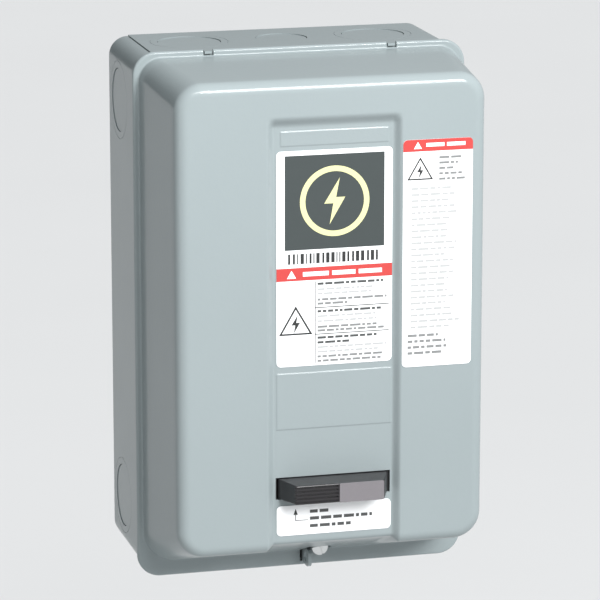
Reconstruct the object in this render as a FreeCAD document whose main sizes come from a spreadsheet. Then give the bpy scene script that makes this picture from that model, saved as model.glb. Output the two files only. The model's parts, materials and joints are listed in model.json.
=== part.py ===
"""Wall-mounted magnetic motor starter: steel box, swinging cover, contactor and overload relay.

Frame: origin at the centre of the four wall holes on the back face, +X to the right, +Y into the
wall, +Z up. A depth is a distance in front of the wall, so it is minus Y. Lengths are millimetres.
"""
import FreeCAD, Part
import math
import os

import Sketcher

doc = FreeCAD.newDocument("motor_starter")
FORWARD = FreeCAD.Rotation(FreeCAD.Vector(1, 0, 0), 90)
SIDEWAYS = FreeCAD.Rotation(FreeCAD.Vector(0, 1, 0), 90)

# ---------------------------------------------------------------- driving dimensions
CELLS = [
    # box
    ("box_width", 180.6), ("box_height", 288.0), ("box_depth", 70.5), ("box_corner", 10.5),
    ("sheet_steel", 1.5), ("seam_place", 79.5), ("seam_gap", 0.4), ("seam_step", 0.6),
    ("wall_hole_across", 127.0), ("wall_hole_up", 228.6), ("wall_hole_size", 7.1),
    # conduit knockouts
    ("knock_large", 34.9), ("knock_small", 28.5), ("knock_ring", 42.4), ("knock_spacing", 52.0),
    ("knock_end_depth", 30.5), ("knock_side_depth", 24.7), ("knock_side_up", 112.5),
    ("knock_gap", 0.35), ("knock_set_back", 0.35), ("knock_tab", 2.5), ("ring_groove", 0.3),
    # cover flange
    ("flange_width", 185.0), ("flange_height", 292.4), ("flange_corner", 12.7),
    ("flange_back", 70.8), ("lip_back", 69.8), ("lip_sheet", 1.6), ("flange_round", 1.3),
    # drawn dome of the cover
    ("dome_front", 138.7), ("root_width", 178.4), ("root_top", 142.7), ("root_low", 137.3),
    ("root_corner_top", 12.0), ("root_corner_low", 18.0), ("face_width", 168.2),
    ("face_top", 139.3), ("face_low", 115.8), ("face_corner", 15.0), ("face_round", 6.5),
    # recessed channel down the cover
    ("channel_centre", 1.4), ("channel_width", 71.8), ("channel_floor_width", 65.8),
    ("channel_deep", 3.5), ("channel_top", 119.9), ("channel_floor_top", 114.4),
    ("channel_corner", 6.0),
    # raised panels pressed in the channel's floor
    ("panel_proud", 0.35), ("panel_corner", 1.2), ("panel_top", 18.8), ("panel_low", 49.5),
    ("strip_width", 59.0), ("strip_top", 112.0), ("strip_low", 104.2),
    # labels
    ("label_thick", 0.3), ("label_corner", 2.4), ("main_label_width", 63.4),
    ("main_label_top", 101.5), ("main_label_low", 15.0), ("label_offset", 0.5),
    ("side_label_left", 38.4), ("side_label_right", 76.8), ("side_label_top", 105.0), ("side_label_low", 18.5),
    ("reset_label_top", 91.9), ("reset_label_low", 108.5),
    # reset button
    ("button_up", 82.1), ("opening_width", 63.5), ("opening_height", 12.2),
    ("button_root_width", 60.8), ("button_root_height", 11.3), ("button_face_width", 48.9),
    ("button_face_height", 10.4), ("button_proud", 15.3), ("button_pad_proud", 0.5),
    ("button_back", 127.0), ("groove_pitch", 2.0), ("groove_width", 0.9), ("groove_deep", 1.1),
    ("guide_wall", 3.2), ("guide_back", 112.0), ("guide_floor", 2.0), ("guide_slack", 0.3),
    ("stem_across", 13.0), ("stem_radius", 2.6), ("stem_end", 88.6), ("push_travel", 5.0),
    ("stud_across", 39.5), ("stud_radius", 1.5),
    # cover screw, its tab and the padlock ear
    ("screw_across", 10.5), ("screw_up", 136.0), ("screw_head_radius", 4.5),
    ("screw_head_tall", 2.5), ("screw_radius", 2.4), ("screw_end", 57.8), ("screw_pocket", 5.6),
    ("screw_slack", 0.35), ("tab_front", 62.3), ("tab_sheet", 1.5),
    ("ear_left", 1.0), ("ear_right", 3.0), ("ear_front", 85.5), ("ear_top", 134.0),
    ("ear_low", 144.2), ("ear_hole", 2.75), ("ear_hole_depth", 79.0), ("ear_hole_up", 139.4),
    ("ear_slack", 1.4),
    # hooks at the top edge
    ("hook_across", 51.0), ("hook_width", 3.9), ("hook_sheet", 1.4), ("notch_width", 5.6),
    ("hook_front", 71.9), ("hook_back", 67.7), ("notch_low", 143.4),
    # mounting plate
    ("plate_back", 7.9), ("plate_sheet", 1.6), ("plate_half", 52.0), ("plate_top", 98.0),
    ("plate_low", 112.0), ("standoff_across", 46.0), ("standoff_top", 93.0),
    ("standoff_low", 108.0), ("standoff_radius", 4.5),
    # contactor
    ("pole_pitch", 26.0), ("works_half", 42.0), ("contactor_mid", 36.0),
    ("contactor_half", 44.0), ("base_front", 58.0), ("ear_plate_front", 16.0),
    ("base_ear", 10.0), ("base_floor", 13.0), ("base_cavity_half", 36.0),
    ("base_cavity_tall", 24.0), ("core_half", 28.0), ("core_stack", 22.0), ("core_yoke", 22.0),
    ("core_leg", 9.0), ("core_front", 46.0), ("core_centre", 7.5), ("coil_half", 17.4),
    ("coil_tall", 20.0), ("bobbin_wall", 1.2), ("bobbin_back", 22.3), ("bobbin_front", 44.5),
    ("bobbin_flange", 1.5), ("armature_back", 51.2), ("carrier_back", 60.0),
    ("carrier_front", 71.7), ("carrier_half", 35.0), ("carrier_tall", 12.0),
    ("post_half", 6.0), ("post_tall", 7.0), ("post_front", 100.5), ("window_half", 3.8),
    ("bridge_back", 90.0), ("bridge_thick", 2.0), ("bridge_half", 3.5), ("bridge_reach", 20.0),
    ("tip_thick", 1.8), ("tip_half", 3.2), ("block_front", 96.0),
    ("block_cavity", 72.0), ("strap_back", 79.0), ("strap_sheet", 2.0), ("strap_half", 8.0),
    ("strap_inner", 12.0), ("chamber_half", 10.0), ("cap_half", 28.0), ("cap_front", 106.0),
    ("cap_cavity", 102.0), ("contactor_travel", 5.0),
    # overload relay
    ("relay_top", 30.0), ("relay_low", 104.0), ("relay_foot", 8.0), ("relay_well", 3.8),
    ("relay_split", 46.0), ("relay_front", 81.0), ("link_sheet", 1.5), ("link_half", 5.0),
    ("heater_half", 8.0), ("heater_top", 48.0), ("heater_low", 70.0),
    ("heater_front", 93.0), ("plunger_radius", 3.5), ("plunger_front", 88.2),
    ("plunger_back", 62.0), ("plunger_bore", 3.58), ("plunger_floor", 46.0),
    ("wheel_radius", 4.5), ("wheel_back", 74.0), ("lug_front", 93.0), ("lug_low", 103.0),
    ("side_block_width", 16.0), ("side_block_back", 40.0), ("side_block_front", 68.0),
    ("side_block_top", 42.0), ("side_block_low", 78.0),
    # small fasteners, wires and ground lug
    ("small_head", 3.4), ("small_head_tall", 2.2), ("small_shank", 1.7), ("shank_slack", 0.1),
    ("slot_wide", 0.9), ("slot_deep", 1.0), ("wire_radius", 1.3), ("ground_across", 70.0),
    ("ground_up", 122.0), ("small_thread", 1.5), ("cap_screw_head", 2.7),
    ("cap_screw_tall", 1.8), ("terminal_head", 4.6), ("terminal_head_tall", 3.0),
    ("ground_head", 4.4), ("ground_head_tall", 2.6), ("ground_lug_left", 6.0),
    ("ground_lug_right", 10.0), ("ground_lug_half", 5.0), ("ground_lug_sheet", 2.0),
    # small features
    ("tab_left", 5.0), ("tab_right", 7.0), ("tab_rise", 13.0), ("tab_foot", 17.0),
    ("ear_long", 36.0), ("ear_corner", 4.0), ("washer_radius", 4.2), ("washer_bore_gap", 0.06),
    ("washer_gap", 1.1), ("washer_thick", 0.8), 
    ("coil_tab_up", 24.0), ("coil_tab_front", 44.0), ("coil_tab_sheet", 1.5),
    ("coil_tab_long", 10.0), ("coil_tab_half", 4.0), ("coil_screw_in", 5.5),
    ("terminal_in", 7.0), ("cap_screw_in", 3.0), ("cap_screw_up", 20.0), ("cap_wall", 4.0),
    ("tip_inset", 0.4), ("contact_spring_radius", 2.2), ("contact_spring_wire", 0.4),
    ("return_spring_out", 3.6), ("return_spring_radius", 2.4), ("return_spring_wire", 0.45),
    ("motor_screw_in", 6.5), ("motor_block_half", 6.0), ("motor_block_tall", 12.0),
    ("motor_wire_bore", 3.2), ("motor_wire_in", 4.2), ("side_screw_in", 9.0),
    ("plunger_spring_radius", 2.4), ("plunger_spring_wire", 0.4), ("heater_end", 5.0),
    ("heater_groove", 1.0), ("wheel_notch", 0.9), ("guide_ear_half", 4.0),
    ("guide_ear_end", 3.5), ("guide_ear_thick", 2.0), ("stud_long", 6.0), ("nut_radius", 3.1),
    ("nut_thick", 2.4), ("button_spring_radius", 3.9), ("button_spring_wire", 0.5),
    ("clip_radius", 5.0), ("clip_back", 1.5), ("clip_gap", 0.3), ("pad_left", 0.6),
    ("pad_edge", 0.4), ("pad_over", 0.1), ("groove_end", 1.2),
]

sheet = doc.addObject("Spreadsheet::Sheet", "dims")
VALUES = dict(CELLS)
for row, (alias, number) in enumerate(CELLS, start=1):
    sheet.set(f"A{row}", alias)
    sheet.set(f"B{row}", str(number))
    sheet.setAlias(f"B{row}", alias)
doc.recompute()


class Size:
    """A length known both as a number and as a formula of spreadsheet cells."""

    def __init__(self, value, formula=None):
        self.value = float(value)
        self.formula = formula or f"{self.value:.6g}"

    def _join(self, other, sign, value):
        return Size(value, f"({self.formula} {sign} {as_size(other).formula})")

    def __add__(self, other):
        return self._join(other, "+", self.value + as_size(other).value)

    def __sub__(self, other):
        return self._join(other, "-", self.value - as_size(other).value)

    def __mul__(self, other):
        return self._join(other, "*", self.value * as_size(other).value)

    def __truediv__(self, other):
        return self._join(other, "/", self.value / as_size(other).value)

    def __radd__(self, other):
        return as_size(other) + self

    def __rsub__(self, other):
        return as_size(other) - self

    def __rmul__(self, other):
        return as_size(other) * self

    def __neg__(self):
        return Size(-self.value, f"(0 - {self.formula})")


def as_size(number):
    return number if isinstance(number, Size) else Size(number)


class Cells:
    """Each cell of the sheet by its alias, as a Size."""

    def __getattr__(self, alias):
        return Size(VALUES[alias], f"dims.{alias}")


d = Cells()


def bind(thing, name, size):
    """Bind a property to its formula."""
    thing.setExpression(name, as_size(size).formula)


def place(thing, x, y, z, rotation=None):
    """Put an object at a point whose coordinates are bound to the sheet."""
    spin = rotation or FreeCAD.Rotation()
    x, y, z = as_size(x), as_size(y), as_size(z)
    thing.Placement = FreeCAD.Placement(FreeCAD.Vector(x.value, y.value, z.value), spin)
    bind(thing, "Placement.Base.x", x)
    bind(thing, "Placement.Base.y", y)
    bind(thing, "Placement.Base.z", z)


# ---------------------------------------------------------------- sketch outlines
def sketch_line(sketch, start, end):
    first = FreeCAD.Vector(start[0].value, start[1].value, 0)
    last = FreeCAD.Vector(end[0].value, end[1].value, 0)
    return sketch.addGeometry(Part.LineSegment(first, last), False)


def measure(sketch, kind, where, size):
    """Add one dimension to a sketch and bind it to the sheet."""
    size = as_size(size)
    index = sketch.addConstraint(Sketcher.Constraint(kind, *where, size.value))
    sketch.setExpression(f"Constraints[{index}]", size.formula)


def pin_down(sketch, geometry, vertex, point):
    """Dimension a vertex from the sketch's origin."""
    measure(sketch, "DistanceX", (-1, 1, geometry, vertex), point[0])
    measure(sketch, "DistanceY", (-1, 1, geometry, vertex), point[1])


class Disc:
    def __init__(self, x, z, radius):
        self.x, self.z, self.radius = as_size(x), as_size(z), as_size(radius)

    def draw(self, sketch):
        centre = FreeCAD.Vector(self.x.value, self.z.value, 0)
        circle = Part.Circle(centre, FreeCAD.Vector(0, 0, 1), self.radius.value)
        index = sketch.addGeometry(circle, False)
        pin_down(sketch, index, 3, (self.x, self.z))
        measure(sketch, "Radius", (index,), self.radius)


class Outline:
    """A closed outline of straight lines through sharp corners."""

    def __init__(self, points):
        self.points = [(as_size(x), as_size(z)) for x, z in points]

    def draw(self, sketch):
        count = len(self.points)
        lines = [sketch_line(sketch, self.points[i], self.points[(i + 1) % count])
                 for i in range(count)]
        for i in range(count):
            joined = (lines[i], 2, lines[(i + 1) % count], 1)
            sketch.addConstraint(Sketcher.Constraint("Coincident", *joined))
            pin_down(sketch, lines[i], 1, self.points[i])


def rect(x0, x1, z0, z1):
    return Outline([(x0, z0), (x1, z0), (x1, z1), (x0, z1)])


class RoundRect:
    """A rectangle whose lower and upper corners have their own radii."""

    def __init__(self, x0, x1, z0, z1, low_radius, top_radius=None):
        self.sides = [as_size(side) for side in (x0, x1, z0, z1)]
        self.low = as_size(low_radius)
        self.top = as_size(top_radius or low_radius)

    def draw(self, sketch):
        left, right, bottom, top = self.sides
        low, high = self.low, self.top
        ends = [
            ((left + low, bottom), (right - low, bottom)),
            ((right, bottom + low), (right, top - high)),
            ((right - high, top), (left + high, top)),
            ((left, top - high), (left, bottom + low)),
        ]
        lines = [sketch_line(sketch, start, end) for start, end in ends]
        corners = [
            (right - low, bottom + low, low, -90),
            (right - high, top - high, high, 0),
            (left + high, top - high, high, 90),
            (left + low, bottom + low, low, 180),
        ]
        for i, (x, z, radius, start) in enumerate(corners):
            circle = Part.Circle(FreeCAD.Vector(x.value, z.value, 0),
                                 FreeCAD.Vector(0, 0, 1), radius.value)
            angles = math.radians(start), math.radians(start + 90)
            arc = sketch.addGeometry(Part.ArcOfCircle(circle, *angles), False)
            following = lines[(i + 1) % len(lines)]
            sketch.addConstraint(Sketcher.Constraint("Tangent", lines[i], 2, arc, 1))
            sketch.addConstraint(Sketcher.Constraint("Tangent", arc, 2, following, 1))
            measure(sketch, "Radius", (arc,), radius)
        for index, direction in enumerate(("Horizontal", "Vertical") * 2):
            sketch.addConstraint(Sketcher.Constraint(direction, lines[index]))
        measure(sketch, "DistanceY", (-1, 1, lines[0], 1), bottom)
        measure(sketch, "DistanceX", (-1, 1, lines[1], 1), right)
        measure(sketch, "DistanceY", (-1, 1, lines[2], 1), top)
        measure(sketch, "DistanceX", (-1, 1, lines[3], 1), left)


# ---------------------------------------------------------------- bodies made from sketches
class Piece:
    """A PartDesign body built from sketches on planes parallel to one origin plane.

    On XZ_Plane the level is a depth; on YZ_Plane it is X; on XY_Plane it is Z.
    """

    def __init__(self, name, plane="XZ_Plane"):
        self.body = doc.addObject("PartDesign::Body", name)
        self.body.Label = name
        self.body.AllowCompound = True
        self.plane = next(feature for feature in self.body.Origin.OriginFeatures
                          if feature.Role == plane)

    def sketch(self, level, outlines):
        made = self.body.newObject("Sketcher::SketchObject", f"{self.body.Name}_sketch")
        made.AttachmentSupport = [(self.plane, "")]
        made.MapMode = "FlatFace"
        made.AttachmentOffset = FreeCAD.Placement(
            FreeCAD.Vector(0, 0, as_size(level).value), FreeCAD.Rotation())
        bind(made, "AttachmentOffset.Base.z", level)
        for outline in outlines:
            outline.draw(made)
        return made

    def pad(self, near, far, *outlines):
        feature = self.body.newObject("PartDesign::Pad", f"{self.body.Name}_pad")
        feature.Profile = self.sketch(near, outlines)
        bind(feature, "Length", as_size(far) - near)
        return self

    def pocket(self, near, far, *outlines):
        """Cut between two levels; the sketch is on the far one and the cut runs back."""
        doc.recompute()
        before = self.body.Shape.Volume
        feature = self.body.newObject("PartDesign::Pocket", f"{self.body.Name}_pocket")
        feature.Profile = self.sketch(far, outlines)
        bind(feature, "Length", as_size(far) - near)
        doc.recompute()
        if self.body.Shape.Volume > before - 1e-3:
            raise ValueError(f"{self.body.Name}: a pocket cut nothing")
        return self

    def loft(self, *sections):
        """Ruled loft through (level, outline) pairs."""
        feature = self.body.newObject("PartDesign::AdditiveLoft", f"{self.body.Name}_loft")
        sketches = [self.sketch(level, [outline]) for level, outline in sections]
        feature.Profile = sketches[0]
        feature.Sections = sketches[1:]
        feature.Ruled = True
        return self

    def round_edges(self, radius, wanted):
        """Fillet every edge of the tip that the test picks."""
        doc.recompute()
        tip = self.body.Tip
        names = [f"Edge{i}" for i, edge in enumerate(tip.Shape.Edges, start=1) if wanted(edge)]
        feature = self.body.newObject("PartDesign::Fillet", f"{self.body.Name}_fillet")
        feature.Base = (tip, names)
        bind(feature, "Radius", radius)
        return self


def at_depth(depth):
    """A test for edges that lie at one depth."""
    level = -as_size(depth).value
    return lambda edge: all(abs(vertex.Y - level) < 1e-4 for vertex in edge.Vertexes)


# ---------------------------------------------------------------- primitives and booleans
def box(name, x0, x1, near, far, z0, z1):
    """A block between two X values, two depths and two Z values."""
    made = doc.addObject("Part::Box", name)
    bind(made, "Length", as_size(x1) - x0)
    bind(made, "Width", as_size(far) - near)
    bind(made, "Height", as_size(z1) - z0)
    place(made, x0, -as_size(far), z0)
    return made


def rod(name, x, z, near, far, radius):
    """A cylinder along the depth."""
    made = doc.addObject("Part::Cylinder", name)
    bind(made, "Radius", radius)
    bind(made, "Height", as_size(far) - near)
    place(made, x, -as_size(near), z, FORWARD)
    return made


def boolean(kind, name, base, tool):
    made = doc.addObject(f"Part::{kind}", name)
    made.Base = base
    made.Tool = tool
    return made


def fuse(name, shapes):
    made = doc.addObject("Part::MultiFuse", name)
    made.Shapes = shapes
    return made


def cut(name, base, tools):
    tool = tools[0] if len(tools) == 1 else fuse(f"{name}_tools", tools)
    return boolean("Cut", name, base, tool)


def group(name, solids):
    """Like pieces kept as separate solids in one node."""
    made = doc.addObject("Part::Compound", name)
    made.Links = solids
    made.Label = name
    return made


def tube(name, x, z, near, far, outer, inner):
    solid = rod(f"{name}_outer", x, z, near, far, outer)
    hole = rod(f"{name}_inner", x, z, near, far, inner)
    return cut(name, solid, [hole])


def slotted_screw(name, x, z, seat, end, head=None, tall=None, shank=None, turned=0):
    """A slotted pan-head screw: the head sits at one depth, the shank ends at another."""
    head = head or d.small_head
    tall = tall or d.small_head_tall
    shank = shank or d.small_shank
    cap = rod(f"{name}_head", x, z, seat, seat + tall, head)
    stem = rod(f"{name}_shank", x, z, end, seat, shank)
    whole = fuse(f"{name}_blank", [cap, stem])
    slot = box(f"{name}_slot", x - head, x + head, seat + tall - d.slot_deep, seat + tall,
               z - d.slot_wide / 2, z + d.slot_wide / 2)
    if turned:
        angle = math.radians(turned)
        along, over = math.cos(angle), math.sin(angle)
        place(slot, x - head * along + d.slot_wide / 2 * over, -(seat + tall),
              z - head * over - d.slot_wide / 2 * along,
              FreeCAD.Rotation(FreeCAD.Vector(0, -1, 0), turned))
    return cut(name, whole, [slot])


def screws(name, places, seat, end, **sizes):
    """A node of identical slotted screws."""
    return group(name, [slotted_screw(f"{name}_{i}", as_size(x), as_size(z), seat, end, **sizes)
                        for i, (x, z) in enumerate(places)])


def spring(name, x, z, near, far, radius, wire, turns):
    """A helical compression spring between two depths."""
    helix = doc.addObject("Part::Helix", f"{name}_path")
    near, far, radius, wire = (as_size(size) for size in (near, far, radius, wire))
    length = far - near - 2 * wire
    helix.Pitch = length.value / turns
    helix.Height = length.value
    helix.Radius = radius.value
    bind(helix, "Pitch", length / turns)
    bind(helix, "Height", length)
    bind(helix, "Radius", radius)
    section = doc.addObject("Part::Circle", f"{name}_section")
    section.Radius = wire.value
    bind(section, "Radius", wire)
    section.Placement = FreeCAD.Placement(FreeCAD.Vector(radius.value, 0, 0), FORWARD)
    bind(section, "Placement.Base.x", radius)
    coil = doc.addObject("Part::Sweep", name)
    coil.Sections = [section]
    coil.Spine = (helix, [])
    coil.Solid = True
    coil.Frenet = True
    place(coil, x, -(near + wire), z, FORWARD)
    return coil


def mirrored(x, z_values):
    """Points at plus and minus x for each z."""
    return [(side * as_size(x), z) for side in (-1, 1) for z in z_values]


def scaled(sign, size):
    return as_size(size) if sign > 0 else -as_size(size)


POLES = [-d.pole_pitch, as_size(0), as_size(0) + d.pole_pitch]
SIDES = (-1, 1)


# ---------------------------------------------------------------- box
def knockout_places():
    """Each knockout as (wall, place along the wall, depth, diameter, has an outer ring)."""
    places = []
    for wall in ("top", "bottom"):
        places.append((wall, -d.knock_spacing, d.knock_end_depth, d.knock_large, True))
        places.append((wall, as_size(0), d.knock_end_depth, d.knock_small, False))
        places.append((wall, as_size(0) + d.knock_spacing, d.knock_end_depth, d.knock_large, True))
    for wall in ("left", "right"):
        for sign in SIDES:
            up = scaled(sign, d.knock_side_up)
            places.append((wall, up, d.knock_side_depth, d.knock_large, True))
    return places


def wall_disc(name, wall, along, depth, radius, level, thick):
    """A disc lying in a box wall: its outer face is `level` inside the wall's outer face."""
    made = doc.addObject("Part::Cylinder", name)
    bind(made, "Radius", radius)
    bind(made, "Height", thick)
    half_wide = d.box_width / 2
    half_tall = d.box_height / 2
    if wall == "top":
        place(made, along, -depth, half_tall - level - thick)
    elif wall == "bottom":
        place(made, along, -depth, level - half_tall)
    elif wall == "right":
        place(made, half_wide - level - thick, -depth, along, SIDEWAYS)
    else:
        place(made, level - half_wide, -depth, along, SIDEWAYS)
    return made


def make_base_wrapper():
    half_wide = d.box_width / 2
    half_tall = d.box_height / 2
    inner_wide = half_wide - d.sheet_steel
    inner_tall = half_tall - d.sheet_steel
    band = Piece("base_band")
    band.pad(0, d.box_depth,
             RoundRect(-half_wide, half_wide, -half_tall, half_tall, d.box_corner),
             RoundRect(-inner_wide, inner_wide, -inner_tall, inner_tall,
                       d.box_corner - d.sheet_steel))
    seam = cut_seam_tool(half_wide, half_tall)
    tools = [seam]
    for i, (wall, along, depth, size, ringed) in enumerate(knockout_places()):
        tools.append(wall_disc(f"knock_hole_{i}", wall, along, depth, size / 2, -1,
                               d.sheet_steel + 2))
        if ringed:
            outer = wall_disc(f"ring_outer_{i}", wall, along, depth, d.knock_ring / 2 + 0.25, 0,
                              d.ring_groove)
            inner = wall_disc(f"ring_inner_{i}", wall, along, depth, d.knock_ring / 2, 0,
                              d.ring_groove)
            tools.append(cut(f"ring_groove_{i}", outer, [inner]))
    wrapper = cut("base_wrapper", band.body, tools)
    wrapper.Label = "base_wrapper"
    return wrapper


def cut_seam_tool(half_wide, half_tall):
    """What is cut from the top wall at the lap: a fine gap and a step down to the corner."""
    beyond = 3
    gap_deep = 1.1
    place_x = -d.seam_place
    gap_x = place_x - d.seam_gap
    low_top = half_tall - d.seam_step
    trimmed = Piece("seam_tool")
    trimmed.pad(-1, d.box_depth + 1, rect(-half_wide - beyond, place_x,
                                          half_tall - d.box_corner - d.seam_step,
                                          half_tall + beyond))
    keep = Piece("seam_keep")
    keep.pad(-2, d.box_depth + 2, RoundRect(-half_wide, half_wide, 0, low_top, d.box_corner))
    step = boolean("Cut", "seam_step_cut", trimmed.body, keep.body)
    gap = box("seam_gap_cut", gap_x, place_x, -1, d.box_depth + 1, half_tall - gap_deep,
              half_tall + beyond)
    return fuse("seam_cut", [step, gap])


def make_back_panel():
    half_wide = d.box_width / 2 - d.sheet_steel
    half_tall = d.box_height / 2 - d.sheet_steel
    panel = Piece("back_panel")
    panel.pad(0, d.sheet_steel, RoundRect(-half_wide, half_wide, -half_tall, half_tall,
                                          d.box_corner - d.sheet_steel))
    half_up = d.wall_hole_up / 2
    holes = [Disc(x, z, d.wall_hole_size / 2)
             for x, z in mirrored(d.wall_hole_across / 2, (half_up, -half_up))]
    holes.append(Disc(-d.ground_across, -d.ground_up, d.small_shank + d.shank_slack))
    panel.pocket(0, d.sheet_steel, *holes)
    return panel.body


def make_knockouts():
    """Slugs a little set back in their holes, each held by a thin tab across the hole."""
    nodes = {}
    for i, (wall, along, depth, size, _) in enumerate(knockout_places()):
        thick = d.sheet_steel - d.knock_set_back
        slug = wall_disc(f"slug_{i}", wall, along, depth, size / 2 - d.knock_gap,
                         d.knock_set_back, thick)
        tab_thick = 0.8
        reach = wall_disc(f"tab_round_{i}", wall, along, depth, size / 2,
                          d.sheet_steel - tab_thick, tab_thick)
        half = d.knock_tab / 2
        span = size
        if wall in ("top", "bottom"):
            up = scaled(1 if wall == "top" else -1, d.box_height / 2)
            strip = box(f"tab_strip_{i}", along - half, along + half, depth - span,
                        depth + span, up - 2, up + 2)
        else:
            across = scaled(1 if wall == "right" else -1, d.box_width / 2)
            strip = box(f"tab_strip_{i}", across - 2, across + 2, depth - span, depth + span,
                        along - half, along + half)
        tab = boolean("Common", f"tab_{i}", reach, strip)
        nodes.setdefault(wall, []).append(fuse(f"knockout_{wall}_{i}", [slug, tab]))
    return [group(f"knockouts_{wall}", solids) for wall, solids in nodes.items()]


def make_top_hooks():
    top = d.box_height / 2
    return group("top_hooks", [
        box(f"top_hook_{side + 1}", side * d.hook_across - d.hook_width / 2,
            side * d.hook_across + d.hook_width / 2, d.hook_back, d.hook_front, top,
            top + d.hook_sheet) for side in SIDES])


def make_cover_screw_bracket():
    floor = d.sheet_steel - d.box_height / 2
    tab = Piece("screw_bracket_body", "YZ_Plane")
    back = d.tab_front - d.tab_foot
    tab.pad(d.screw_across - d.tab_left, d.screw_across + d.tab_right, Outline([
        (-back, floor), (-d.tab_front, floor), (-d.tab_front, floor + d.tab_rise),
        (d.tab_sheet - d.tab_front, floor + d.tab_rise),
        (d.tab_sheet - d.tab_front, floor + d.tab_sheet), (-back, floor + d.tab_sheet)]))
    hole = rod("cover_screw_bracket_hole", d.screw_across, -d.screw_up, d.tab_front - 3,
               d.tab_front + 1, d.screw_radius + d.screw_slack)
    made = cut("cover_screw_bracket", tab.body, [hole])
    made.Label = "cover_screw_bracket"
    return made


def make_padlock_ear():
    floor = d.sheet_steel - d.box_height / 2
    box_front = d.box_depth + 0.1
    foot_back = d.ear_front - d.ear_long
    ear = Piece("padlock_ear", "YZ_Plane")
    ear.pad(d.ear_left, d.ear_right, Outline([
        (-foot_back, floor), (-box_front, floor), (-box_front, -d.ear_low),
        (-d.ear_front, -d.ear_low), (-d.ear_front, -d.ear_top), (-foot_back, -d.ear_top)]))
    tip = -d.ear_front.value
    ear.round_edges(d.ear_corner, lambda edge: len(edge.Vertexes) == 2 and all(
        abs(vertex.Y - tip) < 1e-4 for vertex in edge.Vertexes)
        and abs(edge.Vertexes[0].X - edge.Vertexes[1].X) > 1)
    ear.pocket(d.ear_left - 1, d.ear_right + 1,
               Disc(-d.ear_hole_depth, -d.ear_hole_up, d.ear_hole))
    return ear.body


def make_ground():
    x, z = -d.ground_across, -d.ground_up
    seat = d.sheet_steel + d.ground_lug_sheet
    lug = box("ground_lug_blank", x - d.ground_lug_left, x + d.ground_lug_right, d.sheet_steel,
              seat, z - d.ground_lug_half, z + d.ground_lug_half)
    hole = rod("ground_lug_hole", x, z, 0, seat + 1, d.small_shank + d.shank_slack)
    plate = cut("ground_lug", lug, [hole])
    plate.Label = "ground_lug"
    screw = slotted_screw("ground_screw", x, z, seat, as_size(0.2), head=d.ground_head,
                          tall=d.ground_head_tall)
    screw.Label = "ground_screw"
    return [plate, screw]


def make_mounting_plate():
    front = d.plate_back + d.plate_sheet
    corner_radius = 4
    corners = mirrored(d.standoff_across, (d.standoff_top, -d.standoff_low))
    plate = Piece("mounting_plate")
    plate.pad(d.plate_back, front, RoundRect(-d.plate_half, d.plate_half, -d.plate_low,
                                             d.plate_top, corner_radius))
    bore = d.small_shank + d.shank_slack
    fixings = corners + contactor_fixings() + relay_fixings()
    plate.pocket(d.plate_back, front, *[Disc(x, z, bore) for x, z in fixings])
    standoffs = group("plate_standoffs", [
        tube(f"plate_standoff_{i}", as_size(x), as_size(z), d.sheet_steel, d.plate_back,
             d.standoff_radius, bore) for i, (x, z) in enumerate(corners)])
    return [plate.body, standoffs, screws("plate_screws", corners, front, d.sheet_steel + 1)]


# ---------------------------------------------------------------- contactor
def contactor_fixings():
    reach = d.contactor_half + d.base_ear / 2
    return mirrored(d.works_half - 10, (d.contactor_mid + reach, d.contactor_mid - reach))


def make_contactor_base():
    back = d.plate_back + d.plate_sheet
    mid, half = d.contactor_mid, d.contactor_half
    reach = half + d.base_ear
    base = Piece("contactor_base")
    base.pad(back, d.ear_plate_front, RoundRect(-d.works_half, d.works_half, mid - reach,
                                                mid + reach, 3))
    base.pad(back, d.base_front, RoundRect(-d.works_half, d.works_half, mid - half,
                                           mid + half, 2))
    base.pocket(d.base_floor, d.base_front, rect(-d.base_cavity_half, d.base_cavity_half,
                                                 mid - d.base_cavity_tall,
                                                 mid + d.base_cavity_tall))
    bore = d.small_shank + d.shank_slack
    base.pocket(back, d.ear_plate_front, *[Disc(x, z, bore) for x, z in contactor_fixings()])
    fixing = screws("contactor_screws", contactor_fixings(), d.ear_plate_front,
                    d.plate_back - 1)
    return [base.body, fixing]


def make_magnet_core():
    yoke, front = -d.core_yoke, -d.core_front
    half, leg, centre = d.core_half, d.core_leg, d.core_centre
    core = Piece("magnet_core", "XY_Plane")
    core.pad(d.contactor_mid - d.core_stack / 2, d.contactor_mid + d.core_stack / 2, Outline([
        (-half, -d.base_floor), (-half, front), (leg - half, front), (leg - half, yoke),
        (-centre, yoke), (-centre, front), (centre, front), (centre, yoke),
        (half - leg, yoke), (half - leg, front), (half, front), (half, -d.base_floor)]))
    return core.body


def make_coil():
    mid = d.contactor_mid
    inner_wide = d.core_centre + 0.5
    inner_tall = d.core_stack / 2 + 0.5
    tube_wide = inner_wide + d.bobbin_wall
    tube_tall = inner_tall + d.bobbin_wall
    flange_wide = d.coil_half + 1
    flange_tall = d.coil_tall + 1

    def ring(wide, tall, hole_wide, hole_tall):
        return (rect(-wide, wide, mid - tall, mid + tall),
                rect(-hole_wide, hole_wide, mid - hole_tall, mid + hole_tall))

    bobbin = Piece("coil_bobbin")
    flange = ring(flange_wide, flange_tall, inner_wide, inner_tall)
    bobbin.pad(d.bobbin_back, d.bobbin_back + d.bobbin_flange, *flange)
    bobbin.pad(d.bobbin_back, d.bobbin_front, *ring(tube_wide, tube_tall, inner_wide,
                                                    inner_tall))
    bobbin.pad(d.bobbin_front - d.bobbin_flange, d.bobbin_front, *flange)
    winding = Piece("coil_winding")
    winding.pad(d.bobbin_back + d.bobbin_flange, d.bobbin_front - d.bobbin_flange,
                *ring(d.coil_half, d.coil_tall, tube_wide, tube_tall))
    return [bobbin.body, winding.body]


def coil_terminal_places():
    return [(-d.works_half, d.contactor_mid + sign * d.coil_tab_up) for sign in SIDES]


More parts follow.
